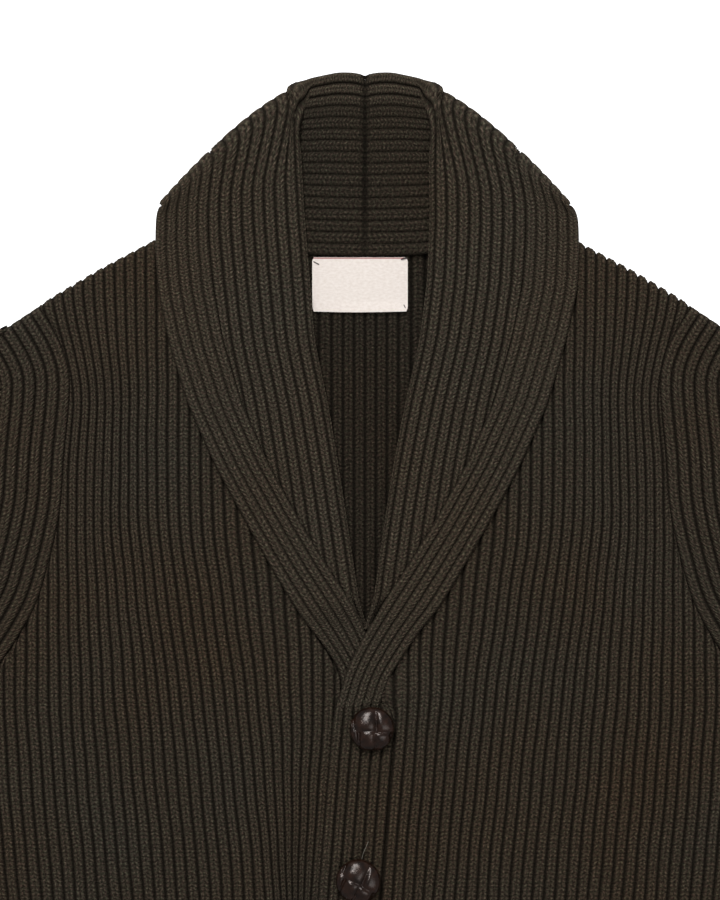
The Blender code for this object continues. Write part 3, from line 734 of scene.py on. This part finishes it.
# %% Ribs of the collar and its tables
FALL_FROM, STRIP_FROM, LAST_RIB = 15.0, 23.0, 28.0
STRIP_MM = 5 * RIB
COLLAR_FOLD = 2.25
STAND_K, INNER_K, STRIP_K = rib_columns(0.0, 15.0), rib_columns(15.0, 23.0), rib_columns(23.0, 28.0)
ALL_K = np.concatenate([STAND_K, INNER_K, STRIP_K])
MITRE = len(STAND_K) + len(INNER_K)
LAPEL_COLUMNS = ("roll_y", "roll_left", "roll_right", "edge_y", "edge_left", "edge_right",
                 "neck_y", "neck_left", "neck_right", "stand_z", "edge_z")
LAPEL_ROWS = [
    (325, 36.0, 36.5, 298, 121.2, 123.6, 284, 88, 88, 9.6, 12.6),
    (300, 34.5, 37.0, 278, 121.7, 124.2, 262, 85, 85, 7.6, 11.0),
    (262, 31.5, 35.5, 256, 120.0, 123.3, 235, 82, 82, 6.4, 10.8),
    (226, 28.5, 31.0, 226, 114.0, 116.5, 208, 75, 75, 6.4, 10.8),
    (188, 20.5, 22.3, 190, 103.0, 106.0, 178, 65, 64, 6.4, 10.8),
    (152, 14.5, 15.5, 154, 87.0, 90.0, 145, 51, 50, 6.4, 10.8),
    (120, 9.5, 10.5, 120, 68.5, 71.5, 118, 41, 38, 6.4, 10.8),
    (97, 6.0, 7.2, 94, 54.0, 56.5, 97, 35, 27, 6.4, 10.8),
    (77, 3.0, 4.6, 71.5, 40.5, 43.0, 76, 30, 16, 6.4, 10.8),
]
STRIP_UNDER = [(0.5, 60, 32, 60, 6.4, 11.2), (-6, 44, 21.5, 46, 6.4, 8.4),
               (-11.5, 32, 13.6, 33, 6.4, 6.4), (-13, 20, 13.9, 20, 6.4, 6.4)]
STRIP_OVER = [(1.2, 58.6, 32, 58.6, 10.7, 10.7), (-6.4, 44.7, 21.5, 43, 10.6, 10.6),
              (-11.6, 32.5, 13.2, 30, 10.6, 10.6), (-17.1, 12.0, 7.6, 12.0, 10.7, 10.7)]


def strip_share(k, share_at_mitre, inner_ribs):
    """A rib's share of the way across the fall where the outer five ribs take what is past the mitre."""
    inner = share_at_mitre * (k - (STRIP_FROM - inner_ribs)) / inner_ribs
    outer = share_at_mitre + (1 - share_at_mitre) * (k - STRIP_FROM) / (LAST_RIB - STRIP_FROM)
    return np.where(k < STRIP_FROM, inner, outer)


# %% [markdown]
# Behind the neck the stand lies on top and the fall lies under it, flat on the table. Between them the cloth
# turns over at the collar's top edge, in a half circle.

# %% A row behind the neck
FALL_BEHIND_Z, STAND_BEHIND_Z, LEAD = 1.9, 6.3, 2.5


def back_row(neck, tip, edge):
    """From the neck seam up to the tip and back down to the outer edge, with a lead before the half turn."""
    way = unit(tip - neck)
    centre = tip - way * (HALF_WALL + COLLAR_FOLD)
    arc = math.pi * COLLAR_FOLD
    points = []
    for k in ALL_K:
        run = (k - 15.0) / 2.0 * (2 * LEAD + arc)
        if k <= 15.0:
            points.append(between(neck, centre - way * LEAD, k / 15.0) + spot(0, 0, STAND_BEHIND_Z))
        elif k < 17.0:
            turn = np.clip((run - LEAD) / COLLAR_FOLD, 0, math.pi)
            slide = min(run - LEAD, 0.0) - max(run - LEAD - arc, 0.0)
            place = centre + way * (slide + COLLAR_FOLD * math.sin(turn))
            points.append(place + spot(0, 0, 4.1 + 2.2 * math.cos(turn)))
        else:
            share = float(strip_share(k, 0.54, 6.0))
            points.append(between(centre - way * LEAD, edge, share) + spot(0, 0, FALL_BEHIND_Z))
    return np.array(points), STRIP_FROM


# %% [markdown]
# At the side of the neck the whole collar turns over once more, from lying behind to lying in front. The rows
# there stand up like the spine of a book: an angle says how far each is on its way round, and the outline
# from the collar's top to the shoulder is one smooth Bezier curve.

# %% Rows at the side fold
FALL_CURVE = np.array([(-36, 376.5), (-59, 371.5), (-98, 333.5), (-120, 306.5)], float)
SIDE_NECK, SIDE_STAND, AWAY = spot(-90, 300), spot(-47, 350), spot(-0.76, 0.65)
SIDE_Z = 8.5


def silhouette(t):
    """The side fold of the fall, from the collar's top to the shoulder, and its outward normal."""
    p, s = FALL_CURVE, 1 - t
    place = s ** 3 * p[0] + 3 * s * s * t * p[1] + 3 * s * t * t * p[2] + t ** 3 * p[3]
    slope = unit(s * s * (p[1] - p[0]) + 2 * s * t * (p[2] - p[1]) + t * t * (p[3] - p[2]))
    return spot(*place), spot(slope[1], -slope[0])


def folded(start, end, bulge, share):
    """A point on a half turn from start to end that swings out by bulge."""
    turn = math.pi * share
    return between(start, end, (1 - math.cos(turn)) / 2) + bulge * math.sin(turn)


def side_row(angle, inner_start, inner_end, reach):
    """A row at the side fold: angle -90 is the layer at the back and +90 the layer in front."""
    out, up = math.cos(math.radians(angle)), math.sin(math.radians(angle))
    lift = AWAY * COLLAR_FOLD * out + spot(0, 0, SIDE_Z + COLLAR_FOLD * up)
    neck, stand_end = SIDE_NECK + lift, SIDE_STAND + lift

    def fall_at(share):
        place, normal = silhouette(0.12 + 0.88 * share)
        inset = 6.6 * (1 - out) * (1 - 0.8 * share ** 2)
        return place - normal * (inset + HALF_WALL) + spot(0, 0, SIDE_Z + 6.6 * up)

    points = []
    for k in ALL_K:
        if k <= 13.3:
            points.append(between(neck, stand_end, k / 13.3))
        elif k < 14.7:
            points.append(folded(stand_end, inner_start, spot(0.86, -0.5) * reach[0], (k - 13.3) / 1.4))
        elif k <= 15.3:
            points.append(between(inner_start, inner_end, (k - 14.7) / 0.6))
        elif k < 16.7:
            bulge = spot(-0.35 + 0.25 * max(-up, 0.0), 0.94) * reach[1]
            points.append(folded(inner_end, fall_at(0.0), bulge, (k - 15.3) / 1.4))
        else:
            points.append(fall_at(float(strip_share(k, 0.6, 6.3))))
    return np.array(points), STRIP_FROM


# %% [markdown]
# Down the lapel a row has the stand below, the roll beside the neck and the fall on top. Where the lapel is
# too narrow for all its ribs, the row also says how many fit before the five outer ones. Below the V only
# those five go on, as the button band.

# %% Rows down the lapel
def lapel_row(values, side):
    """A row of the lapel table, and the last rib that there is room for in it."""
    row = dict(zip(LAPEL_COLUMNS, values))
    roll = spot(-row["roll_" + side], row["roll_y"])
    edge = spot(-row["edge_" + side], row["edge_y"])
    neck = spot(-row["neck_" + side], row["neck_y"], row["stand_z"])
    way = unit(roll - edge)
    centre = roll - way * (HALF_WALL + COLLAR_FOLD)
    low = centre + spot(0, 0, row["stand_z"])
    high = centre + spot(0, 0, row["stand_z"] + 2 * COLLAR_FOLD)
    end = edge + spot(0, 0, row["edge_z"])
    width = float(np.linalg.norm(edge - centre))
    pitch = max(RIB, (width - STRIP_MM) / (STRIP_FROM - FALL_FROM))
    points = []
    for k in ALL_K:
        if k <= 13.0:
            points.append(between(neck, low, k / 13.0))
        elif k < 15.0:
            points.append(folded(low, high, way * COLLAR_FOLD, (k - 13.0) / 2.0))
        else:
            reach = width - (LAST_RIB - k) * RIB if k > STRIP_FROM else (k - FALL_FROM) * pitch
            points.append(fall_point(high, end, reach / width))
    points[MITRE] = fall_point(high, end, (width - STRIP_MM) / width)
    return np.array(points), FALL_FROM + (width - STRIP_MM) / pitch


def fall_point(high, end, share):
    """The fall keeps the roll's height on its inner half and comes down to the edge on its outer half."""
    place = between(high, end, share)
    place[2] = high[2] + (end[2] - high[2]) * smooth((share - 0.5) / 0.5)
    return place


def strip_row(values):
    """Only the outer ribs go on: from the free edge (x, y) to the collar's edge (x, y), then both heights."""
    free, edge = spot(-values[0], values[1], values[4]), spot(-values[2], values[3], values[5])
    points = []
    for k in ALL_K:
        share = max(k - STRIP_FROM, 0.0) / (LAST_RIB - STRIP_FROM)
        place = between(free, edge, share)
        place[2] = free[2] + (edge[2] - free[2]) * smooth((share - 0.55) / 0.45)
        points.append(place)
    return np.array(points), FALL_FROM - 0.6


# %% All rows of one half
STAND_ROWS = 17


def collar_rows(side):
    """The rows' points, and the last rib that there is room for in each."""
    rows = [
        back_row(spot(0.05, 276), spot(0.05, 382.8), spot(0.05, 290)),
        back_row(spot(-32, 276.6), spot(-15, 383.2), spot(-32, 298)),
        back_row(spot(-62, 280), spot(-30, 379.9), spot(-72, 307)),
        side_row(-90, spot(-36, 363, 6.9), spot(-35, 370.5, 7.3), (0.5, 8.0)),
        side_row(-45, spot(-36.8, 361.5, 8.7), spot(-37.2, 370, 9.4), (1.4, 5.8)),
        side_row(0, spot(-38, 359, 10.6), spot(-39.6, 367.6, 11.4), (2.2, 3.2)),
        side_row(45, spot(-39.2, 356, 12.7), spot(-41.2, 364, 13.6), (2.4, 1.5)),
        side_row(90, spot(-40.2, 351, 14.4), spot(-42.2, 359, 15.0), (2.3, 0.2)),
    ]
    lapel = [lapel_row(values, side) for values in LAPEL_ROWS]
    rows.append((0.5 * (rows[-1][0] + lapel[0][0]), STRIP_FROM))
    rows += lapel
    rows += [strip_row(values) for values in (STRIP_UNDER if side == "left" else STRIP_OVER)]
    return np.array([row[0] for row in rows]), np.array([row[1] for row in rows])


# %% [markdown]
# The rows are filled in until they lie a stitch apart, and softened the way cloth rounds itself. Then the
# half is laid out as two sheets: the stand with the inner ribs, each column as long as there is room for it,
# and the strip of five outer ribs. Furrows are shallower where the cloth stands on edge, and at the back the
# two halves dip into the seam that joins them.

# %% Making one half of the collar
def row_places(points, step):
    """Fractional row numbers about a step apart."""
    places = [0.0]
    for row in range(len(points) - 1):
        longest = np.linalg.norm(points[row + 1] - points[row], axis=1)[[0, -1, len(STAND_K)]].max()
        count = max(int(math.ceil(longest / step)), 3)
        places += list(row + (np.arange(count) + 1) / count)
    return np.array(places)


def collar(name, node, side, turn, step=2.6):
    points, room = collar_rows(side)
    spots = row_places(points, step)
    fine = soften(take(points, spots), 9)
    limit = np.interp(spots, np.arange(len(room)), room)
    stand_end, tip_end = np.interp((STAND_ROWS, STAND_ROWS + 1), spots, np.arange(len(spots)))
    lengths = np.median(np.linalg.norm(np.diff(fine, axis=0), axis=2), axis=1)
    row_count = np.concatenate([[0], np.cumsum(lengths)]) / STITCH

    numbers = np.concatenate([STAND_K, INNER_K[1:]])
    picks = list(range(len(STAND_K))) + list(range(len(STAND_K) + 1, MITRE))
    rows = len(spots) - 14
    middle = np.zeros((len(numbers), rows, 3))
    fade, counts = np.zeros((len(numbers), rows)), np.zeros((len(numbers), rows))
    for column, (k, pick) in enumerate(zip(numbers, picks)):
        over = np.nonzero((limit < k - 1e-6) & (spots > 7.5))[0]
        end = stand_end + (tip_end - stand_end) * smooth((k - 11.0) / 2.0)
        if k > 15.35 and len(over):
            end = min(over[0] - 0.5, end)
        places = np.linspace(0, end, rows)
        counts[column] = np.interp(places, np.arange(len(spots)), row_count)
        middle[column] = take(fine[:, pick], places)
        fade[column] = smooth((end - places) * step / 6.0) if k > 15.0 else 1.0
    stand = collar_part(middle, numbers[:, None] + np.zeros(rows), fade, counts)

    middle = np.transpose(fine[:, MITRE:], (1, 0, 2))
    level = np.zeros(middle.shape[:2])
    fade = level + smooth((len(fine) - 1 - np.arange(len(fine))) * step / 5.0)
    strip = collar_part(middle, STRIP_K[:, None] + level, fade, level + row_count)
    return sewn(name, [stand, strip], turn, collar_wool, node)


def collar_part(middle, number, fade, stitches):
    """Lays one sheet of the collar out with its relief."""
    high = ridge(number)
    at_top = (np.abs(number - 16.0) < 0.6) & (middle[..., 1] > 340)
    high = np.where(at_top, np.maximum(high, 0.75), high)
    relief = GROOVE * (1 - high) * (0.62 + 0.38 * smooth((number - 12.5) / 2)) + 1.4 * (1 - fade)
    centre = np.abs(middle[..., 0])
    relief = relief + 4.0 * (1 - smooth(centre / 3.4)) * (middle[..., 1] > 270)
    middle = middle.copy()
    middle[..., 1] -= 0.9 * (1 - smooth(centre / 9.0)) * smooth((middle[..., 1] - 340) / 30)
    flat_face = walls(middle, np.ones(number.shape))[0]
    facing_up = np.abs((flat_face - middle)[..., 2])
    relief = relief * (0.2 + 0.8 * smooth(facing_up * 1.6))
    upper, lower = walls(middle, np.maximum(HALF_WALL - relief, -1.5))
    upper[..., 2], lower[..., 2] = np.maximum(upper[..., 2], 0.02), np.maximum(lower[..., 2], 0.02)
    return lay_out("collar", upper, lower, number, stitches)


collar_under = collar("knit_collar_right", "collar_right", "left", 1.0)
collar_over = collar("knit_collar_left", "collar_left", "right", -1.0)

# %% [markdown]
# ## The bands
#
# Below the V the collar's five outer ribs go on as the button band, and a sixth rib joins them there. The
# upper band has a short upright slit for each button. Knit spreads round a slit, so its edges sink. Both
# bands lean with the fronts, and are a little narrower at the top, where the lapels cross.

# %% Making the bands
BUTTON_PITCH, BUTTON_COUNT = 88.0, 5
FIRST_BUTTON_X, FIRST_BUTTON_Y = 4.1, 1.7
BAND_RIBS, BAND_TOP = 6.0, 12.5
SLIT_DEPTH, SLIT_HALF = 4.5, 2.1


def button_place(number):
    y = FIRST_BUTTON_Y - BUTTON_PITCH * number
    return FIRST_BUTTON_X + float(read(BAND_LEAN, y)), y


def slit_dip(x, y, number):
    """How deep the slit of a button sinks the band above it."""
    slit_x, slit_y = button_place(number)
    inside = np.exp(-((x - slit_x - 2.6) / SLIT_HALF) ** 4)
    return SLIT_DEPTH * inside * smooth((slit_y + 19 - y) / 4) * smooth((y - slit_y - 6) / 4)


def band(name, node, top_y, free_x, pitch, top_z, slits, rows=150):
    """free_x and pitch are the free edge's x and the width of a rib, at the top and further down."""
    ribs, down = rib_columns(0.0, BAND_RIBS)[:, None], np.linspace(0, 1, rows)[None, :]
    y = top_y + (HEM_Y - top_y) * down
    y = y - smooth((ribs - 5.0) / 0.3) * 2.6 * (1 - down)
    near_top = np.clip(y / top_y, 0.0, 1.2) ** 2
    spread = between(pitch[1], pitch[0], near_top)
    x = between(free_x[1], free_x[0], near_top) + soft_read(BAND_LEAN, y - 12) + spread * ribs
    number = ribs + np.zeros(y.shape)
    dip = GROOVE * (1 - ridge(number)) + edge_roll(y - HEM_Y, 3.0, 1.5)
    if slits:
        dip = dip + 1.3 * smooth((y - 13.5) / 4.5)
        dip = dip + sum(slit_dip(x, y, button) for button in range(BUTTON_COUNT))
    base_z = top_z - 2 * HALF_WALL
    upper = np.stack([x, y, np.maximum(top_z - dip, base_z + 0.25)], axis=2)
    lower = np.stack([x, y, np.full(y.shape, base_z)], axis=2)
    part = lay_out("band", upper, lower, number, (y - HEM_Y) / STITCH)
    return sewn(name, [part], 1.0, body_wool, node)


band_over = band("knit_band_left", "band_left", 18.0, (-16.0, -17.4), (4.8, 6.0), BAND_TOP, True)
band_under = band("knit_band_right", "band_right", 19.4, (-13.6, -13.9), (4.4, 4.5), FRONT_TOP, False)

# %% [markdown]
# ## The label
#
# A woven satin ribbon, folded under at its ends and caught down with a few dark stitches. It is blank. It
# bellies a little between its stitches, and one corner lifts.

# %% The label's finish and shape
WEFT_THREADS, WARP_THREADS = 95.0, 150.0
LABEL_WIDE, LABEL_TALL = 55.6, 31.6
LABEL_X, LABEL_Y, LABEL_Z, RIBBON_HALF = -30.7, 243.6, 4.75, 0.25


def ribbon_finish():
    """Cream satin with a fine weave, and a red woven line along its upper edge."""
    made = Finish("label ribbon", 0.55, Sheen_Weight=0.1)
    knit = made.knit_map()
    across, along = made.part(knit, 0), made.part(knit, 1)
    weft = ((along * (2 * math.pi * WEFT_THREADS)).cosine() * 0.5 + 0.5) * 0.6
    warp = ((across * (2 * math.pi * WARP_THREADS)).cosine() * 0.5 + 0.5) * 0.4
    mottle = made.noise(knit, 26.0, 3.0)
    red_line = ((along - 0.968) * 160.0).held() * ((0.995 - along) * 300.0).held()
    cream = made.ramp(mottle, (0.3, (0.71, 0.63, 0.57)), (0.7, (0.81, 0.74, 0.69)))
    made.feed("Base Color", made.mix("MIX", red_line * 0.85, cream, (0.30, 0.035, 0.04, 1.0)))
    made.bump(weft + warp + mottle * 0.5, 0.35, 0.0002)
    return made.material


def thread_finish(name, colour):
    made = Finish(name, 0.7, Sheen_Weight=0.2)
    twist = made.noise(made.own_place(), 1800.0, 2.0)
    made.feed("Base Color", made.ramp(twist, (0.35, tuple(0.6 * part for part in colour)), (0.65, colour)))
    made.bump(twist, 0.5, 0.0002)
    return made.material


def label_piece():
    across, along = np.meshgrid(np.linspace(0, 1, 60), np.linspace(0, 1, 34), indexing="ij")
    corner = np.hypot(np.minimum(across, 1 - across) * LABEL_WIDE, np.minimum(along, 1 - along) * LABEL_TALL)
    x = LABEL_X + LABEL_WIDE * across
    y = LABEL_Y + LABEL_TALL * along - 0.5 * np.sin(math.pi * across) * (1 - along)
    belly = 0.45 * np.sin(math.pi * across) * np.sin(math.pi * along) ** 0.6
    curl = 1.5 * smooth((0.22 - along) / 0.22) * smooth(across * 1.4) + 0.7 * smooth((0.09 - across) / 0.09)
    z = LABEL_Z + belly + curl * 0.8 - 0.25 * smooth(1 - corner / 3.0)
    x = x + np.where(across < 0.5, 1, -1) * 0.8 * smooth(1 - corner / 2.5)
    upper = np.stack([x, y, z + RIBBON_HALF], axis=2)
    lower = np.stack([x, y, z - RIBBON_HALF], axis=2)
    part = lay_out("label", upper, lower, across, along)
    return sewn("woven_label", [part], 1.0, ribbon_finish(), "label")


label = label_piece()

# %% [markdown]
# ## Threads
#
# A few dark stitches catch the label's corners. A thread is a round section carried along a path: a ring of
# eight points at each place of the path, each ring bridged to the one before it, and both ends filled.

# %% Corner stitches
RING = 8
CATCH_Z, CATCH_RISE = 5.35, 0.35
CATCHES = [(-30.0, 272.6, 3.2, -1.6), (21.0, 273.8, 3.4, 1.2), (22.6, 247.5, 1.4, -3.0)]


def tube(name, path, radius, finish):
    shape = bmesh.new()
    path = np.array(path, float)
    ring_before = None
    for place, way in zip(path, unit(np.gradient(path, axis=0))):
        side = unit(np.cross(way, (0.0, 0.0, 1.0)))
        lift = np.cross(side, way)
        ring = [shape.verts.new((place + radius * (side * math.cos(a) + lift * math.sin(a))) * MM)
                for a in np.linspace(0, 2 * math.pi, RING + 1)[:-1]]
        edges = [shape.edges.new((ring[at], ring[(at + 1) % RING])) for at in range(RING)]
        if ring_before:
            bmesh.ops.bridge_loops(shape, edges=ring_before + edges)
        else:
            first = edges
        ring_before = edges
    bmesh.ops.edgeloop_fill(shape, edges=first)
    bmesh.ops.edgeloop_fill(shape, edges=ring_before)
    bmesh.ops.recalc_face_normals(shape, faces=shape.faces[:])
    piece = smooth_piece(name, shape, finish)
    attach(piece, "root")


dark_thread = thread_finish("dark thread", (0.02, 0.014, 0.012))
for count, (x, y, run_x, run_y) in enumerate(CATCHES):
    arch = [(x + run_x * t, y + run_y * t, CATCH_Z + CATCH_RISE * math.sin(math.pi * t))
            for t in np.linspace(0, 1, 7)]
    tube(f"label_catch_{count + 1}", arch, 0.32, dark_thread)

# %% [markdown]
# ## Woven leather buttons
#
# Leather straps are woven over and under each other and pulled tight on a dome. From above they make a
# pinwheel: each strap's end dips under its neighbour. Six strap ends show, each a cushion with round
# shoulders. A sphere is turned into the dome, and its height follows the highest cushion at each point.
# Polished leather has a clear coat and a fine grain, and its gloss varies with the hand that rubbed it.

# %% Leather
LEATHER_DARK, LEATHER_LIGHT = (0.0052, 0.0020, 0.0012), (0.021, 0.0084, 0.0050)


def leather_finish():
    made = Finish("button leather", 0.26, Coat_Weight=0.32, Coat_Roughness=0.26, Specular_IOR_Level=0.24,
                  Specular_Tint=(1.0, 0.84, 0.76, 1.0))
    place = made.own_place()
    pores = made.node("ShaderNodeTexVoronoi", {"feature": "DISTANCE_TO_EDGE"},
                      {"Vector": place, "Scale": 1500.0})
    cloud = made.noise(place, 260.0, 3.0)
    made.feed("Base Color", made.ramp(cloud, (0.35, LEATHER_DARK), (0.68, LEATHER_LIGHT)))
    made.feed("Roughness", cloud * 0.16 + 0.08)
    made.bump((pores * 4.0).held() * 0.4 + cloud, 0.22, 0.0003)
    return made.material


# %% Making a button
STRAPS = [(-0.32, 0.46, 0.50, 0.58, 0.0), (0.62, 0.42, 0.44, 0.60, 0.12), (-0.22, -0.50, 0.36, 0.50, -0.05),
          (0.50, -0.54, 0.36, 0.46, 0.15), (-0.88, -0.42, 0.28, 0.50, 0.1), (-1.10, 0.36, 0.24, 0.42, 0.25)]
TWISTS = (0.0, -0.45, 0.8, -1.2, 0.3)
SEAT, BUTTON_RADIUS = 12.7, 12.95
RIM_RISE, DOME_RISE, PILLOW_RISE = 2.2, 4.2, 2.6


def strap_height(x, y, centre_x, centre_y, half_x, half_y, lean):
    """A strap's end as a cushion with round shoulders, highest where it crosses over its neighbour."""
    across = (x - centre_x + lean * (y - centre_y)) / half_x
    along = (y - centre_y) / half_y
    if abs(across) >= 1.0 or abs(along) >= 1.0:
        return 0.0
    round_off = (1.0 - abs(across) ** 4) ** 0.6 * (1.0 - abs(along) ** 3.4) ** 0.6
    return round_off * (0.82 - 0.22 * along * math.copysign(1.0, centre_y) - 0.10 * across ** 2)


def woven_button(number, twist, finish):
    x0, y0 = button_place(number)
    solid_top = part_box(f"button_{number + 1}")[1].z / MM - 0.02
    shape = bmesh.new()
    bmesh.ops.create_uvsphere(shape, u_segments=96, v_segments=56, radius=1.0)
    for vert in shape.verts:
        x, y, z = vert.co
        turned_x = x * math.cos(twist) + y * math.sin(twist)
        turned_y = y * math.cos(twist) - x * math.sin(twist)
        pillow = max(strap_height(turned_x, turned_y, *strap) for strap in STRAPS)
        dome = max(z, 0.0) ** 0.92
        height = SEAT + RIM_RISE + DOME_RISE * dome + PILLOW_RISE * pillow * float(smooth(z / 0.35))
        if z < 0.0:
            height = SEAT + RIM_RISE * (1.0 + z)
        groove = 1.0 - min(pillow * 2.5, 1.0)
        rim = BUTTON_RADIUS - 0.45 * groove * (z > -0.3) - (1.8 * z * z if z < 0 else 0.0)
        vert.co = ((x0 + rim * x) * MM, (y0 + rim * y) * MM, min(height, solid_top) * MM)
    piece = smooth_piece(f"leather_button_{number + 1}", shape, finish)
    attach(piece, "root")
    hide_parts(f"button_{number + 1}")


leather = leather_finish()
for number, twist in enumerate(TWISTS):
    woven_button(number, twist, leather)

# %% [markdown]
# ## Sewing threads of the buttons
#
# Each button hangs on a short shank of thread that comes up through its slit. Above the second button a pale
# end of thread was left uncut.

# %% Shanks and the loose end
SHANK_FOOT, SHANK_TALL = 8.7, 4.6
LOOSE_END = [(-1.9, -74.0, 12.0), (-1.2, -71.0, 13.0), (0.0, -68.0, 13.6),
             (1.2, -65.2, 13.7), (1.9, -63.4, 13.2)]
for number in range(BUTTON_COUNT):
    x, y = button_place(number)
    path = [(x + 0.3 * math.sin(5 * t), y, SHANK_FOOT + SHANK_TALL * t) for t in np.linspace(0, 1, 6)]
    tube(f"button_shank_{number + 1}", path, 1.1, dark_thread)

pale_thread = thread_finish("pale thread", (0.22, 0.20, 0.16))
tube("loose_thread", line_points(LOOSE_END, 12), 0.13, pale_thread)

# %% [markdown]

# %% [markdown]
# ## Table, light and camera
#
# The garment lies on a plain white table that glows a little, so that it stays pure white round the wool. A
# soft light beyond the collar rakes over the ribs, a small one gives the leather its glints, and a wide one
# fills the shadows. The camera looks straight down with a long lens, which keeps the ribs parallel.

# %% The table
TABLE_HALF, BELOW_WOOL = 6.0, -0.0005


def table_top():
    made = Finish("white table", 0.8, Base_Color=(0.9, 0.9, 0.9, 1.0), Emission_Color=(1.0, 1.0, 1.0, 1.0),
                  Emission_Strength=0.7)
    shape = bmesh.new()
    bmesh.ops.create_grid(shape, x_segments=1, y_segments=1, size=TABLE_HALF)
    bmesh.ops.translate(shape, vec=(0, 0, BELOW_WOOL), verts=shape.verts[:])
    piece = smooth_piece("floor", shape, made.material)


table_top()

# %% Lights


def soft_light(name, place, aim, size, power):
    data = bpy.data.lights.new(name, "AREA")
    data.shape = "SQUARE"
    data.size = size
    data.energy = power
    item = bpy.data.objects.new(name, data)
    item.location = place
    item.rotation_mode = "QUATERNION"
    item.rotation_quaternion = (Vector(aim) - Vector(place)).to_track_quat("-Z", "Y")
    bpy.context.scene.collection.objects.link(item)


soft_light("key", (-0.25, 1.55, 1.75), (0.0, 0.1, 0.0), 0.45, 27.5)
soft_light("glint", (-0.35, 0.75, 1.75), (0.0, 0.0, 0.0), 0.22, 9.0)
soft_light("fill", (0.9, -0.5, 2.1), (0.0, 0.1, 0.0), 1.2, 10.0)
world = bpy.data.worlds.new("studio")
world.use_nodes = True
background = world.node_tree.nodes["Background"]
background.inputs["Color"].default_value = (1.0, 1.0, 1.0, 1.0)
background.inputs["Strength"].default_value = 0.3
bpy.context.scene.world = world
bpy.context.scene.view_settings.view_transform = "Standard"

# %% The camera
data = bpy.data.cameras.new("camera")
data.lens = 100.0
data.sensor_width = 36.0
camera = bpy.data.objects.new("camera", data)
camera.location = (-0.0029, 0.163, 1.460)
bpy.context.scene.collection.objects.link(camera)
bpy.context.scene.camera = camera
